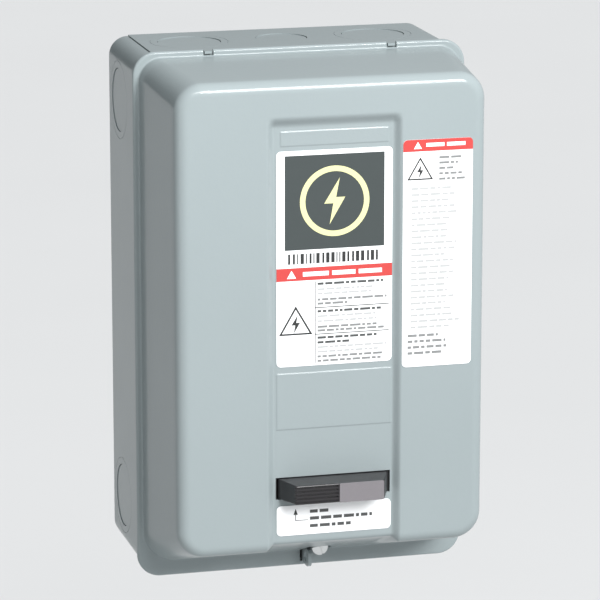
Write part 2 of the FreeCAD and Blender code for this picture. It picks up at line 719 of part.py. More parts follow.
def make_coil_terminals():
    tabs = []
    fixings = []
    front = d.coil_tab_front
    for i, (x, z) in enumerate(coil_terminal_places()):
        blank = box(f"coil_tab_blank_{i}", x - d.coil_tab_long, x, front - d.coil_tab_sheet,
                    front, z - d.coil_tab_half, z + d.coil_tab_half)
        hole = rod(f"coil_tab_hole_{i}", x - d.coil_screw_in, z, front - 3, front + 1,
                   d.small_shank + d.shank_slack)
        tabs.append(cut(f"coil_tab_{i}", blank, [hole]))
        fixings.append((x - d.coil_screw_in, z))
    return [group("coil_terminals", tabs),
            screws("coil_terminal_screws", fixings, front, front - 4)]


def make_contact_block():
    mid, half = d.contactor_mid, d.contactor_half
    block = Piece("contact_block")
    block.pad(d.base_front, d.block_front, RoundRect(-d.works_half, d.works_half, mid - half,
                                                     mid + half, 2))
    slack = 0.4
    block.pocket(d.base_front, d.block_cavity, rect(
        -d.carrier_half - 1, d.carrier_half + 1, mid - d.carrier_tall - 2,
        mid + d.carrier_tall + 2))
    block.pocket(d.strap_back, d.block_front, *[
        rect(x - d.chamber_half, x + d.chamber_half, mid - half - 2, mid + half + 2)
        for x in POLES])
    block.pocket(d.block_cavity - 1, d.strap_back + 1, *[
        rect(x - d.post_half - slack, x + d.post_half + slack, mid - d.post_tall - 1,
             mid + d.post_tall + 1) for x in POLES])
    bore = d.small_shank + d.shank_slack
    terminals = [Disc(x, mid + sign * terminal_reach(), bore) for x in POLES for sign in SIDES]
    block.pocket(d.strap_back - 6, d.strap_back, *terminals)
    block.pocket(d.block_front - 10, d.block_front,
                 *[Disc(x, z, small_bore()) for x, z in cap_fixings()])
    return block.body


def terminal_reach():
    return d.contactor_half - d.terminal_in


def small_bore():
    return d.small_thread + d.shank_slack


def cap_fixings():
    return mirrored(d.works_half - d.cap_screw_in, (d.contactor_mid + d.cap_screw_up,
                                                  d.contactor_mid - d.cap_screw_up))


def make_terminals():
    """Line straps above, load straps below, each with a silver tip and a terminal screw."""
    mid = d.contactor_mid
    strap_front = d.strap_back + d.strap_sheet
    nodes = []
    tips = []
    for sign, name in ((1, "line_terminals"), (-1, "load_terminals")):
        straps = []
        for i, x in enumerate(POLES):
            ends = [mid + sign * d.strap_inner, mid + sign * (d.contactor_half - 1)]
            low, high = sorted(ends, key=lambda size: size.value)
            blank = box(f"{name}_blank_{i}", x - d.strap_half, x + d.strap_half,
                        d.strap_back, strap_front, low, high)
            hole = rod(f"{name}_hole_{i}", x, mid + sign * terminal_reach(), d.strap_back - 1,
                       strap_front + 1, d.small_shank + d.shank_slack)
            straps.append(cut(f"{name}_{i}", blank, [hole]))
            tip_mid = mid + sign * (d.bridge_reach - d.tip_half - d.tip_inset)
            tips.append(box(f"stationary_tip_{name}_{i}", x - d.tip_half, x + d.tip_half,
                            strap_front, strap_front + d.tip_thick, tip_mid - d.tip_half,
                            tip_mid + d.tip_half))
        nodes.append(group(name, straps))
    nodes.append(group("stationary_contacts", tips))
    line = [(x, mid + terminal_reach()) for x in POLES]
    nodes.append(screws("line_terminal_screws", line, strap_front, d.strap_back - 5,
                        head=d.terminal_head, tall=d.terminal_head_tall))
    load = [(x, mid - terminal_reach()) for x in POLES]
    nodes.append(screws("load_terminal_screws", load, strap_front + d.link_sheet,
                        d.strap_back - 5, head=d.terminal_head, tall=d.terminal_head_tall))
    return nodes


def make_arc_cover():
    mid = d.contactor_mid
    cap = Piece("arc_cover")
    cap.pad(d.block_front, d.cap_front, RoundRect(-d.works_half, d.works_half,
                                                  mid - d.cap_half, mid + d.cap_half, 2))
    cap.pocket(d.block_front, d.cap_cavity, *[
        rect(x - d.chamber_half, x + d.chamber_half, mid - d.cap_half + d.cap_wall,
             mid + d.cap_half - d.cap_wall) for x in POLES])
    cap.pocket(d.block_front, d.cap_front,
               *[Disc(x, z, small_bore()) for x, z in cap_fixings()])
    fixing = screws("arc_cover_screws", cap_fixings(), d.cap_front, d.block_front - 9,
                    head=d.cap_screw_head, tall=d.cap_screw_tall, shank=d.small_thread)
    return [cap.body, fixing]


def make_carrier():
    """The moving crossbar with three windowed posts, and what it carries."""
    mid = d.contactor_mid
    carrier = Piece("carrier_body")
    carrier.pad(d.carrier_back, d.carrier_front, rect(
        -d.carrier_half, d.carrier_half, mid - d.carrier_tall, mid + d.carrier_tall))
    carrier.pad(d.carrier_front, d.post_front, *[
        rect(x - d.post_half, x + d.post_half, mid - d.post_tall, mid + d.post_tall)
        for x in POLES])
    window_front = d.post_front - 2.5
    windows = [box(f"carrier_window_{i}", x - d.window_half, x + d.window_half,
                   d.bridge_back, window_front, mid - d.post_tall - 1, mid + d.post_tall + 1)
               for i, x in enumerate(POLES)]
    whole = cut("contact_carrier", carrier.body, windows)
    whole.Label = "contact_carrier"
    armature = Piece("armature")
    armature.pad(d.armature_back, d.carrier_back, rect(
        -d.core_half, d.core_half, mid - d.core_stack / 2, mid + d.core_stack / 2))
    bridges = []
    springs = []
    bridge_front = d.bridge_back + d.bridge_thick
    for i, x in enumerate(POLES):
        bar = box(f"bridge_bar_{i}", x - d.bridge_half, x + d.bridge_half, d.bridge_back,
                  bridge_front, mid - d.bridge_reach, mid + d.bridge_reach)
        tips = [box(f"bridge_tip_{i}_{side + 1}", x - d.tip_half, x + d.tip_half,
                    d.bridge_back - d.tip_thick, d.bridge_back + 0.1,
                    mid + side * (d.bridge_reach - d.tip_half - d.tip_inset) - d.tip_half,
                    mid + side * (d.bridge_reach - d.tip_half - d.tip_inset) + d.tip_half)
                for side in SIDES]
        bridges.append(fuse(f"bridge_{i}", [bar, *tips]))
        springs.append(spring(f"contact_spring_{i}", x, mid, bridge_front, window_front,
                              d.contact_spring_radius, d.contact_spring_wire, 4))
    return [whole, armature.body, group("movable_contacts", bridges),
            group("contact_springs", springs)]


def make_return_springs():
    return group("return_springs", [
        spring(f"return_spring_{side + 1}", side * (d.core_half + d.return_spring_out),
               d.contactor_mid, d.base_floor, d.carrier_back, d.return_spring_radius,
               d.return_spring_wire, 12) for side in SIDES])


# ---------------------------------------------------------------- overload relay
def relay_fixings():
    return mirrored(d.works_half - 4, (-d.relay_top - 8, -d.relay_low + 8))


def link_places():
    """Heights of the screws that hold each heater, top and bottom."""
    return (-d.heater_top + d.heater_end, -d.heater_low - d.heater_end)


def make_overload_housing():
    """The relay's moulded base, screwed to the plate, and the housing that closes it."""
    back = d.plate_back + d.plate_sheet
    foot = back + d.relay_foot
    bore = d.small_shank + d.shank_slack

    def outline():
        return RoundRect(-d.works_half, d.works_half, -d.relay_low, -d.relay_top, 2)

    def wells():
        return [Disc(x, z, d.relay_well) for x, z in relay_fixings()]

    base = Piece("overload_base")
    base.pad(back, d.relay_split, outline())
    base.pocket(foot, d.relay_split, *wells())
    base.pocket(back, foot, *[Disc(x, z, bore) for x, z in relay_fixings()])
    housing = Piece("overload_housing")
    housing.pad(d.relay_split, d.relay_front, outline())
    housing.pocket(d.relay_split, d.relay_front, *wells())
    housing.pocket(d.plunger_floor, d.relay_front,
                   Disc(d.stem_across, -d.button_up, d.plunger_bore))
    middle = -(d.heater_top + d.heater_low) / 2
    housing.pocket(d.wheel_back - 0.2, d.relay_front,
                   *[Disc(x, middle, d.wheel_radius + 0.4) for x in POLES])
    screws_at = [(x, z) for x in POLES for z in (*link_places(), motor_lug_mid())]
    housing.pocket(d.relay_front - 6, d.relay_front, *[Disc(x, z, bore) for x, z in screws_at])
    fixing = screws("overload_screws", relay_fixings(), foot, d.plate_back - 1)
    return [base.body, housing.body, fixing]


def motor_lug_mid():
    return -d.lug_low + d.motor_screw_in


def make_links():
    """Copper straps from the contactor's load side down to the heaters."""
    low = -d.heater_top + 1
    high = d.contactor_mid - terminal_reach() + 6
    straps = []
    for i, x in enumerate(POLES):
        blank = box(f"connector_strap_blank_{i}", x - d.link_half, x + d.link_half,
                    d.relay_front, d.relay_front + d.link_sheet, low, high)
        holes = [rod(f"connector_strap_hole_{i}_{j}", x, z, d.relay_front - 1,
                     d.relay_front + 3, d.small_shank + d.shank_slack)
                 for j, z in enumerate((d.contactor_mid - terminal_reach(), link_places()[0]))]
        straps.append(cut(f"connector_strap_{i}", blank, holes))
    return group("connector_straps", straps)


def make_thermal_units():
    seat = d.relay_front + d.link_sheet
    top, low = -d.heater_top, -d.heater_low
    units = []
    for i, x in enumerate(POLES):
        block = box(f"heater_block_{i}", x - d.heater_half, x + d.heater_half,
                    d.relay_front, d.heater_front, low, top)
        bar = box(f"heater_bar_{i}", x - d.link_half, x + d.link_half, seat,
                  seat + d.link_sheet, low - 10, top + 10)
        groove = box(f"heater_groove_{i}", x - d.heater_groove, x + d.heater_groove, d.heater_front - 2,
                     d.heater_front + 1, low - 1, top + 1)
        trims = [rod(f"heater_hole_{i}_{j}", x, z, d.relay_front - 1, seat + 4,
                     d.small_shank + d.shank_slack) for j, z in enumerate(link_places())]
        under = box(f"heater_under_{i}", x - d.heater_half - 1, x + d.heater_half + 1,
                    d.relay_front - 1, seat, top - 1.2, top + 1)
        units.append(cut(f"thermal_unit_{i}", fuse(f"thermal_unit_blank_{i}", [block, bar]),
                         [groove, under, *trims]))
    places = [(x, z) for x in POLES for z in link_places()]
    fixing = screws("thermal_unit_screws", places, seat + d.link_sheet, d.relay_front - 5)
    middle = (top + low) / 2
    wheels = group("ratchet_wheels", [ratchet_wheel(f"ratchet_wheel_{i}", x, middle)
                                      for i, x in enumerate(POLES)])
    return [group("thermal_units", units), fixing, wheels]


def ratchet_wheel(name, x, z):
    """A small toothed wheel whose teeth are notches cut round a disc."""
    teeth = 8
    disc = rod(f"{name}_disc", x, z, d.wheel_back, d.relay_front, d.wheel_radius)
    notches = []
    for tooth in range(teeth):
        angle = 2 * math.pi * tooth / teeth
        reach = d.wheel_radius
        notches.append(rod(f"{name}_notch_{tooth}", x + reach * math.cos(angle),
                           z + reach * math.sin(angle), d.wheel_back - 1, d.relay_front + 1,
                           d.wheel_notch))
    return cut(name, disc, notches)


def make_motor_lugs():
    """Box lugs for the motor wires, with the strap that carries each heater's lower end."""
    seat = d.relay_front + d.link_sheet
    lugs = []
    for i, x in enumerate(POLES):
        strap = box(f"motor_strap_{i}", x - d.link_half, x + d.link_half, d.relay_front, seat,
                    -d.lug_low + 1, -d.heater_low - 1)
        block = box(f"motor_block_{i}", x - d.motor_block_half, x + d.motor_block_half,
                    seat - 0.5, d.lug_front, -d.lug_low, -d.lug_low + d.motor_block_tall)
        channel = doc.addObject("Part::Cylinder", f"motor_wire_hole_{i}")
        bind(channel, "Radius", d.motor_wire_bore)
        bind(channel, "Height", 30)
        place(channel, x, -(seat + d.motor_wire_in), -d.lug_low - 10)
        holes = [rod(f"motor_lug_hole_{i}_{j}", x, z, d.relay_front - 1, far,
                     d.small_shank + d.shank_slack)
                 for j, (z, far) in enumerate(((motor_lug_mid(), d.lug_front + 1),
                                               (link_places()[1], seat + 1)))]
        lugs.append(cut(f"motor_lug_{i}", fuse(f"motor_lug_blank_{i}", [strap, block]),
                        [channel, *holes]))
    places = [(x, motor_lug_mid()) for x in POLES]
    fixing = screws("motor_lug_screws", places, d.lug_front, d.lug_front - 3.2)
    return [group("motor_lugs", lugs), fixing]


def make_side_block():
    """The relay's control contact block on its right side, with two screws."""
    left = d.works_half
    middle = left + d.side_block_width / 2
    spots = [(middle, -d.side_block_top - d.side_screw_in),
             (middle, -d.side_block_low + d.side_screw_in)]
    block = Piece("overload_contact_block")
    block.pad(d.side_block_back, d.side_block_front, rect(
        left, left + d.side_block_width, -d.side_block_low, -d.side_block_top))
    block.pocket(d.side_block_front - 6, d.side_block_front,
                 *[Disc(x, z, d.small_shank + d.shank_slack) for x, z in spots])
    fixing = screws("overload_contact_screws", spots, d.side_block_front,
                    d.side_block_front - 5)
    return [block.body, fixing]


def make_plunger():
    x, z = d.stem_across, -d.button_up
    plunger = rod("overload_reset_plunger", x, z, d.plunger_back, d.plunger_front,
                  d.plunger_radius)
    plunger.Label = "overload_reset_plunger"
    coil = spring("overload_reset_spring", x, z, d.plunger_floor, d.plunger_back,
                  d.plunger_spring_radius, d.plunger_spring_wire, 6)
    coil.Label = "overload_reset_spring"
    return [plunger, coil]


def rounded_path(points, share=0.45):
    """Straight runs joined by tangent arcs, each as large as its two runs allow."""
    edges = []
    start = points[0]
    for before, corner, after in zip(points, points[1:], points[2:]):
        back = (before - corner).normalize()
        ahead = (after - corner).normalize()
        reach = share * min(before.distanceToPoint(corner), after.distanceToPoint(corner))
        entry = corner + back * reach
        leave = corner + ahead * reach
        half_turn = (math.pi - back.getAngle(ahead)) / 2
        radius = reach / math.tan(half_turn)
        bisector = (back + ahead).normalize()
        centre = corner + bisector * (radius / math.cos(half_turn))
        middle = centre - bisector * radius
        edges.append(Part.LineSegment(start, entry).toShape())
        edges.append(Part.Arc(entry, middle, leave).toShape())
        start = leave
    edges.append(Part.LineSegment(start, points[-1]).toShape())
    return Part.Wire(edges)


def make_control_wires():
    """Two insulated leads, from the coil's terminals to the relay's contact block."""
    solids = []
    across = VALUES["works_half"]
    right = across + VALUES["side_block_width"] / 2
    screw_zs = [-VALUES["side_block_low"] + 9, -VALUES["side_block_top"] - 9]
    radius = VALUES["wire_radius"]
    for i, (screw_z, lane) in enumerate(zip(screw_zs, (0, 5))):
        tab_z = VALUES["contactor_mid"] + SIDES[i] * 24
        far_left = -across - 13 - lane
        far_right = right + 13 + lane
        low = -VALUES["relay_low"] - 14 - lane
        near = 20 - lane
        landing = VALUES["side_block_front"] + radius
        points = [FreeCAD.Vector(*point) for point in [
            (-across - 9.9, -42.5 + radius, tab_z - 4 - radius),
            (far_left, -34, tab_z - 12),
            (far_left - 1, -near, tab_z - 34),
            (far_left, -near, -56),
            (far_left + 4, -near, low + 18),
            (far_left + 26, -near, low),
            (0, -near, low - 1),
            (far_right - 22, -near, low),
            (far_right, -near - 4, low + 20),
            (far_right + 1, 10 - landing, screw_z - 14),
            (far_right - 1, -landing - 4, screw_z - 4),
            (right + 4.3, -landing - 0.1, screw_z - 1),
        ]]
        path = rounded_path(points)
        tangent = (points[1] - points[0]).normalize()
        profile = Part.Wire([Part.Circle(points[0], tangent, radius).toShape()])
        tube_solid = path.makePipeShell([profile], True, True)
        solids.append(tube_solid)
        expected = math.pi * radius ** 2 * path.Length
        print("control wire", i, "volume ratio", round(tube_solid.Volume / expected, 4))
    wires = doc.addObject("Part::Feature", "control_wires")
    wires.Label = "control_wires"
    wires.Shape = Part.Compound(solids)
    wires.Placement = FreeCAD.Placement()
    return wires


# ---------------------------------------------------------------- cover
def dome(name, level_root, level_front, shrink, rounding):
    """The dome's outer form, or its inner form when the walls are shrunk by the sheet."""
    half_root = d.root_width / 2 - shrink
    half_face = d.face_width / 2 - shrink
    root = RoundRect(-half_root, half_root, shrink - d.root_low, d.root_top - shrink,
                     d.root_corner_low - shrink, d.root_corner_top - shrink)
    face = RoundRect(-half_face, half_face, shrink - d.face_low, d.face_top - shrink,
                     d.face_corner - shrink, d.face_corner - shrink)
    made = Piece(name)
    made.loft((level_root, root), (level_front, face))
    made.round_edges(rounding, at_depth(level_front))
    return made.body


def channel(name, grow):
    """The recess down the cover's front; grown by the sheet it is the recess's inside."""
    middle = d.channel_centre
    half_top = d.channel_width / 2 + grow
    half_floor = d.channel_floor_width / 2 + grow
    low = -d.root_low - 5
    floor = RoundRect(middle - half_floor, middle + half_floor, low, d.channel_floor_top + grow,
                      2, d.channel_corner - 2)
    mouth = RoundRect(middle - half_top, middle + half_top, low, d.channel_top + grow, 2,
                      d.channel_corner)
    made = Piece(name)
    made.loft((d.dome_front - d.channel_deep - grow, floor), (d.dome_front - grow, mouth))
    made.pad(d.dome_front - grow, d.dome_front + 5, mouth)
    return made.body


def make_cover_shell():
    half_wide = d.flange_width / 2
    half_tall = d.flange_height / 2
    flange_front = d.flange_back + d.sheet_steel
    flange = Piece("cover_flange")
    flange.pad(d.lip_back, flange_front, RoundRect(-half_wide, half_wide, -half_tall,
                                                   half_tall, d.flange_corner))
    flange.round_edges(d.flange_round, at_depth(flange_front))
    inside_wide = half_wide - d.lip_sheet
    inside_tall = half_tall - d.lip_sheet
    flange.pocket(d.lip_back, d.flange_back, RoundRect(
        -inside_wide, inside_wide, -inside_tall, inside_tall, d.flange_corner - d.lip_sheet))
    outer = dome("dome_outer", d.flange_back, d.dome_front, as_size(0), d.face_round)
    inner = dome("dome_inner", d.flange_back - 0.5, d.dome_front - d.sheet_steel,
                 d.sheet_steel, d.face_round - d.sheet_steel)
    pocket = rod("screw_pocket", d.screw_across, -d.screw_up, flange_front, d.dome_front,
                 d.screw_pocket)
    pocket_inside = rod("screw_pocket_inside", d.screw_across, -d.screw_up, d.lip_back,
                        d.dome_front + 2, d.screw_pocket + d.sheet_steel)
    pressed = cut("cover_pressed", fuse("cover_blank", [flange.body, outer]),
                  [channel("channel_outer", as_size(0)), pocket])
    outside = fuse("cover_outside", [pressed, channel_panels()])
    inside = cut("cover_inside", inner, [channel("channel_inner", d.sheet_steel),
                                         pocket_inside])
    cuts = [inside, *cover_openings(flange_front)]
    shell = cut("cover_shell", outside, cuts)
    shell.Label = "cover_shell"
    return shell


def channel_panels():
    """Two shallow raised panels on the channel's floor, above and below the main label."""
    floor = d.dome_front - d.channel_deep
    middle = d.channel_centre + d.label_offset
    panels = Piece("channel_panels")
    panels.pad(floor - d.panel_proud, floor + d.panel_proud, *[
        RoundRect(middle - width / 2, middle + width / 2, low, top, d.panel_corner)
        for width, low, top in ((d.main_label_width, -d.panel_low, -d.panel_top),
                                (d.strip_width, d.strip_low, d.strip_top))])
    return panels.body


def cover_openings(flange_front):
    """The button's opening, the screw hole, the ear's slot, the hook notches, stud holes."""
    half_tall = d.flange_height / 2
    middle = d.channel_centre
    half_opening = d.opening_width / 2
    half_high = d.opening_height / 2
    channel_front = d.dome_front - d.channel_deep
    cuts = [
        box("button_opening", middle - half_opening, middle + half_opening,
            channel_front - 4, channel_front + 1, -d.button_up - half_high,
            -d.button_up + half_high),
        rod("screw_hole", d.screw_across, -d.screw_up, d.lip_back, flange_front + 1,
            d.screw_radius + d.screw_slack),
        box("ear_slot", d.ear_left - d.ear_slack, d.ear_right + d.ear_slack, d.lip_back,
            d.ear_front + 2, -d.ear_low - 1, -d.ear_top + 1),
    ]
    for side in SIDES:
        centre = side * d.hook_across
        cuts.append(box(f"hook_notch_{side + 1}", centre - d.notch_width / 2,
                        centre + d.notch_width / 2, d.lip_back - 1, flange_front + 1,
                        d.notch_low, half_tall + 1))
    return cuts


def label_plate(name, left, right, low, top, seat):
    plate = Piece(name)
    plate.pad(seat, seat + d.label_thick, RoundRect(left, right, low, top, d.label_corner))
    return plate.body


def make_labels():
    middle = d.channel_centre + d.label_offset
    half = d.main_label_width / 2
    floor = d.dome_front - d.channel_deep
    return [
        label_plate("nameplate_label", middle - half, middle + half, -d.main_label_low,
                    d.main_label_top, floor),
        label_plate("side_label", d.side_label_left, d.side_label_right, -d.side_label_low,
                    d.side_label_top, d.dome_front),
        label_plate("reset_label", middle - half, middle + half, -d.reset_label_low,
                    -d.reset_label_top, floor),
    ]


def make_button_guide():
    """A moulded cup behind the opening, held on two welded studs."""
    middle, up = d.channel_centre, -d.button_up
    front = d.dome_front - d.channel_deep - d.sheet_steel
    half_wide = d.button_root_width / 2 + d.guide_slack
    half_high = d.button_root_height / 2 + d.guide_slack
    ear_reach = d.stud_across + d.guide_ear_end
    ear_back = front - d.guide_ear_thick
    guide = Piece("button_guide")
    guide.pad(d.guide_back, front, RoundRect(
        middle - half_wide - d.guide_wall, middle + half_wide + d.guide_wall,
        up - half_high - d.guide_wall, up + half_high + d.guide_wall, 1.5))
    guide.pad(ear_back, front, rect(middle - ear_reach, middle + ear_reach,
                                    up - d.guide_ear_half, up + d.guide_ear_half))
    guide.pocket(d.guide_back + d.guide_floor, front, rect(
        middle - half_wide, middle + half_wide, up - half_high, up + half_high))
    guide.pocket(d.guide_back, d.guide_back + d.guide_floor,
                 Disc(d.stem_across, up, d.stem_radius + d.guide_slack))
    studs = [(middle + side * d.stud_across, up) for side in SIDES]
    guide.pocket(ear_back, front, *[Disc(x, z, d.stud_radius + d.shank_slack)
                                    for x, z in studs])
    stud_node = group("guide_studs", [
        rod(f"guide_stud_{i}", x, z, front - d.stud_long, front, d.stud_radius)
        for i, (x, z) in enumerate(studs)])
    nuts = []
    for i, (x, z) in enumerate(studs):
        nut = doc.addObject("Part::Prism", f"guide_nut_blank_{i}")
        nut.Polygon = 6
        bind(nut, "Circumradius", d.nut_radius)
        bind(nut, "Height", d.nut_thick)
        place(nut, x, -(ear_back - d.nut_thick), z, FORWARD)
        hole = rod(f"guide_nut_hole_{i}", x, z, ear_back - 3, ear_back + 1,
                   d.stud_radius + d.shank_slack)
        nuts.append(cut(f"guide_nut_{i}", nut, [hole]))
    return [guide.body, stud_node, group("guide_nuts", nuts)]


def make_reset_button():
    """One moulding: a flared block with a grooved half and a smooth half, and its stem."""
    middle, up = d.channel_centre, -d.button_up
    root_wide, root_high = d.button_root_width / 2, d.button_root_height / 2
    face_wide, face_high = d.button_face_width / 2, d.button_face_height / 2
    floor = d.dome_front - d.channel_deep
    face = floor + d.button_proud
    corner_radius = 0.8
    edge_radius = 0.7

    def section(half_wide, half_high):
        return RoundRect(middle - half_wide, middle + half_wide, up - half_high,
                         up + half_high, corner_radius)

    button = Piece("reset_button")
    button.pad(d.button_back, floor, section(root_wide, root_high))
    button.loft((floor, section(root_wide, root_high)), (face, section(face_wide, face_high)))
    button.round_edges(edge_radius, at_depth(face))
    button.pocket(face - d.groove_deep, face + 1, *[
        rect(middle - root_wide, middle - d.groove_end,
             up + step * d.groove_pitch - d.groove_width / 2,
             up + step * d.groove_pitch + d.groove_width / 2) for step in (-2, -1, 0, 1, 2)])
    button.pad(face - 2, face + d.button_pad_proud, RoundRect(
        middle - d.pad_left, middle + face_wide - d.pad_edge, up - face_high - d.pad_over,
        up + face_high + d.pad_over,
        corner_radius))
    button.pad(d.stem_end, d.button_back, Disc(d.stem_across, up, d.stem_radius))
    return button.body


def make_button_fittings():
    up = -d.button_up
    coil = spring("reset_button_spring", d.stem_across, up, d.guide_back + d.guide_floor,
                  d.button_back, d.button_spring_radius, d.button_spring_wire, 5)
    coil.Label = "reset_button_spring"
    clip = tube("reset_button_clip", d.stem_across, up, d.guide_back - d.clip_back,
                d.guide_back - d.clip_gap, d.clip_radius, d.stem_radius)
    clip.Label = "reset_button_clip"
    return [coil, clip]


def make_cover_screw():
    x, z = d.screw_across, -d.screw_up
    seat = d.flange_back + d.sheet_steel
    slot_turned = 112
    screw = slotted_screw("cover_screw", x, z, seat, d.screw_end, head=d.screw_head_radius,
                          tall=d.screw_head_tall, shank=d.screw_radius, turned=slot_turned)
    screw.Label = "cover_screw"
    washer = tube("cover_screw_washer", x, z, d.tab_front + d.washer_gap,
                  d.tab_front + d.washer_gap + d.washer_thick, d.washer_radius,
                  d.screw_radius + d.washer_bore_gap)
    washer.Label = "cover_screw_washer"
    return [screw, washer]


# ---------------------------------------------------------------- build, check and write
def make_all():
    nodes = [make_base_wrapper(), make_back_panel(), *make_knockouts(), make_top_hooks(),
             make_cover_screw_bracket(), make_padlock_ear(), *make_ground(),
             *make_mounting_plate()]
    nodes += [*make_contactor_base(), make_magnet_core(), *make_coil(), *make_coil_terminals(),
              make_contact_block(), *make_terminals(), *make_arc_cover(), *make_carrier(),
              make_return_springs()]
    nodes += [*make_overload_housing(), make_links(), *make_thermal_units(),
              *make_motor_lugs(), *make_side_block(), *make_plunger(), make_control_wires()]
    nodes += [make_cover_shell(), *make_labels(), *make_button_guide(), make_reset_button(),
              *make_button_fittings(), *make_cover_screw()]
    return nodes


parts = make_all()
doc.recompute()
faulty = [thing.Name for thing in doc.Objects if {"Invalid", "Error"} & set(thing.State)]
if faulty:
    raise RuntimeError(f"failed objects: {faulty}")
for node in parts:
    if node.Shape.isNull() or not node.Shape.isValid() or not node.Shape.Solids:
        raise RuntimeError(f"{node.Label}: bad shape")
os.makedirs("parts", exist_ok=True)
for node in parts:
    node.Shape.exportStep(f"parts/{node.Label}.step")
print(len(parts), "nodes written")
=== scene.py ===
import json
import math
import random

import bmesh
import bpy
import numpy as np
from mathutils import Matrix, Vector


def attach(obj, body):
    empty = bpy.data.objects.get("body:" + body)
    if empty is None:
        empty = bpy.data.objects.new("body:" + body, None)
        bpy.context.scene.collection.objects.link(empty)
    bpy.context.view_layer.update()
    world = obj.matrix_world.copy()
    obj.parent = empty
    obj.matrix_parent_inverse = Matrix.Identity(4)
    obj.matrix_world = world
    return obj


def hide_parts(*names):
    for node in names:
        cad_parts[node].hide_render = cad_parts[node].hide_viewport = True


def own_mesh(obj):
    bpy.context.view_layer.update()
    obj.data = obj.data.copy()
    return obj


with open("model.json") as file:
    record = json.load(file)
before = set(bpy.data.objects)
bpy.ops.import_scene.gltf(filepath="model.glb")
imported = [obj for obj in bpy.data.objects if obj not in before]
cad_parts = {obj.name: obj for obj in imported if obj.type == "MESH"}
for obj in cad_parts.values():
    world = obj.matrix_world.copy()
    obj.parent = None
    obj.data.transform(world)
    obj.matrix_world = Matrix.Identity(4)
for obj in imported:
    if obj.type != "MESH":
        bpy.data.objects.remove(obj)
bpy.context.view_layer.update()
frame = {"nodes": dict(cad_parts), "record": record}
NODES = frame["nodes"]
MM = 0.001

# ---------------------------------------------------------------- sizes of the cover, mm
# A depth is a distance in front of the wall, so it is minus Y.
FACE = {"half": 84.1, "low": -115.8, "top": 139.3, "r_low": 15.0, "r_top": 15.0}
ROOT = {"half": 89.2, "low": -137.3, "top": 142.7, "r_low": 18.0, "r_top": 12.0}
RIM = {"half": 92.5, "low": -146.2, "top": 146.2, "r_low": 12.7, "r_top": 12.7}
FACE_DEPTH = 138.7
LEDGE_DEPTH = 72.3
LIP_DEPTH = 69.8
DOME_TALL = FACE_DEPTH - LEDGE_DEPTH
SHEET = 1.5
FACE_ROUND = 6.5
ROOT_ROUND = 1.0
RIM_ROUND = 1.3
CHANNEL_DEEP = 3.5
CHANNEL_LEFT = (-35.8, -31.0)
CHANNEL_RIGHT = (33.8, 38.4)
CHANNEL_TOP = (114.0, 120.6)
PANEL_PROUD = 0.35
PANEL_EDGE = 0.7
PANELS = ((-29.8, 33.6, -49.5, -18.8), (-27.6, 31.4, 104.2, 112.0))
OPENING = (-30.35, 33.15, -88.2, -76.0)
EAR_SLOT = (-0.4, 4.4, 87.5)
NOTCHES = ((-53.8, -48.2), (48.2, 53.8))
SCREW_AT = (10.5, -136.0)
POCKET = 5.6
HOLE_HALF = 2.7
# Grid places this near the middle of an edge stay where they are; those beyond it stretch.
KEEP_ACROSS = 55
KEEP_LOW = 60
KEEP_TOP = 90
PLATE_THICK = 0.3
LAYER = 0.04
FLOOR_DEPTH = FACE_DEPTH - CHANNEL_DEEP
CORNER_STEPS = 9


# ---------------------------------------------------------------- material helpers
def srgb(r, g, b):
    """A colour given in 0-255 screen values, as linear light."""
    def line(v):
        v /= 255
        return v / 12.92 if v <= 0.04045 else ((v + 0.055) / 1.055) ** 2.4
    return (line(r), line(g), line(b), 1.0)


class Nodes:
    """A short way to write a material's nodes."""

    def __init__(self, name):
        self.material = bpy.data.materials.new(name)
        self.material.use_nodes = True
        self.tree = self.material.node_tree
        self.shader = self.tree.nodes["Principled BSDF"]
        self.place = self.add("ShaderNodeTexCoord").outputs["Object"]

    def add(self, kind, **settings):
        node = self.tree.nodes.new(kind)
        for key, value in settings.items():
            setattr(node, key, value)
        return node

    def join(self, source, target):
        self.tree.links.new(source, target)

    def noise(self, scale, detail=3.0, rough=0.55, stretch=None):
        node = self.add("ShaderNodeTexNoise")
        node.inputs["Scale"].default_value = scale
        node.inputs["Detail"].default_value = detail
        node.inputs["Roughness"].default_value = rough
        if stretch:
            mapping = self.add("ShaderNodeMapping")
            mapping.inputs["Scale"].default_value = stretch
            self.join(self.place, mapping.inputs["Vector"])
            self.join(mapping.outputs["Vector"], node.inputs["Vector"])
        else:
            self.join(self.place, node.inputs["Vector"])
        return node.outputs["Fac"]

    def ramp(self, source, low, high):
        node = self.add("ShaderNodeMapRange")
        node.inputs["To Min"].default_value = low
        node.inputs["To Max"].default_value = high
        self.join(source, node.inputs["Value"])
        return node.outputs["Result"]

    def mix(self, factor, first, second):
        node = self.add("ShaderNodeMix", data_type="RGBA")
        for socket, value in (("A", first), ("B", second)):
            target = next(s for s in node.inputs if s.name == socket and s.type == "RGBA")
            if isinstance(value, tuple):
                target.default_value = value
            else:
                self.join(value, target)
        self.join(factor, next(s for s in node.inputs if s.name == "Factor"))
        return next(s for s in node.outputs if s.type == "RGBA")

    def bump(self, height, strength, distance, under=None):
        node = self.add("ShaderNodeBump")
        node.inputs["Strength"].default_value = strength
        node.inputs["Distance"].default_value = distance
        self.join(height, node.inputs["Height"])
        if under is not None:
            self.join(under, node.inputs["Normal"])
        return node.outputs["Normal"]

    def set(self, **values):
        for key, value in values.items():
            socket = self.shader.inputs[key.replace("_", " ")]
            if isinstance(value, (int, float, tuple)):
                socket.default_value = value
            else:
                self.join(value, socket)


FRONT_LIGHT = 1.62


def printed_tone(r, g, b):
    """The ink that shows as this screen colour under the light on the cover's front."""
    return tuple(channel / FRONT_LIGHT for channel in srgb(r, g, b)[:3]) + (1.0,)


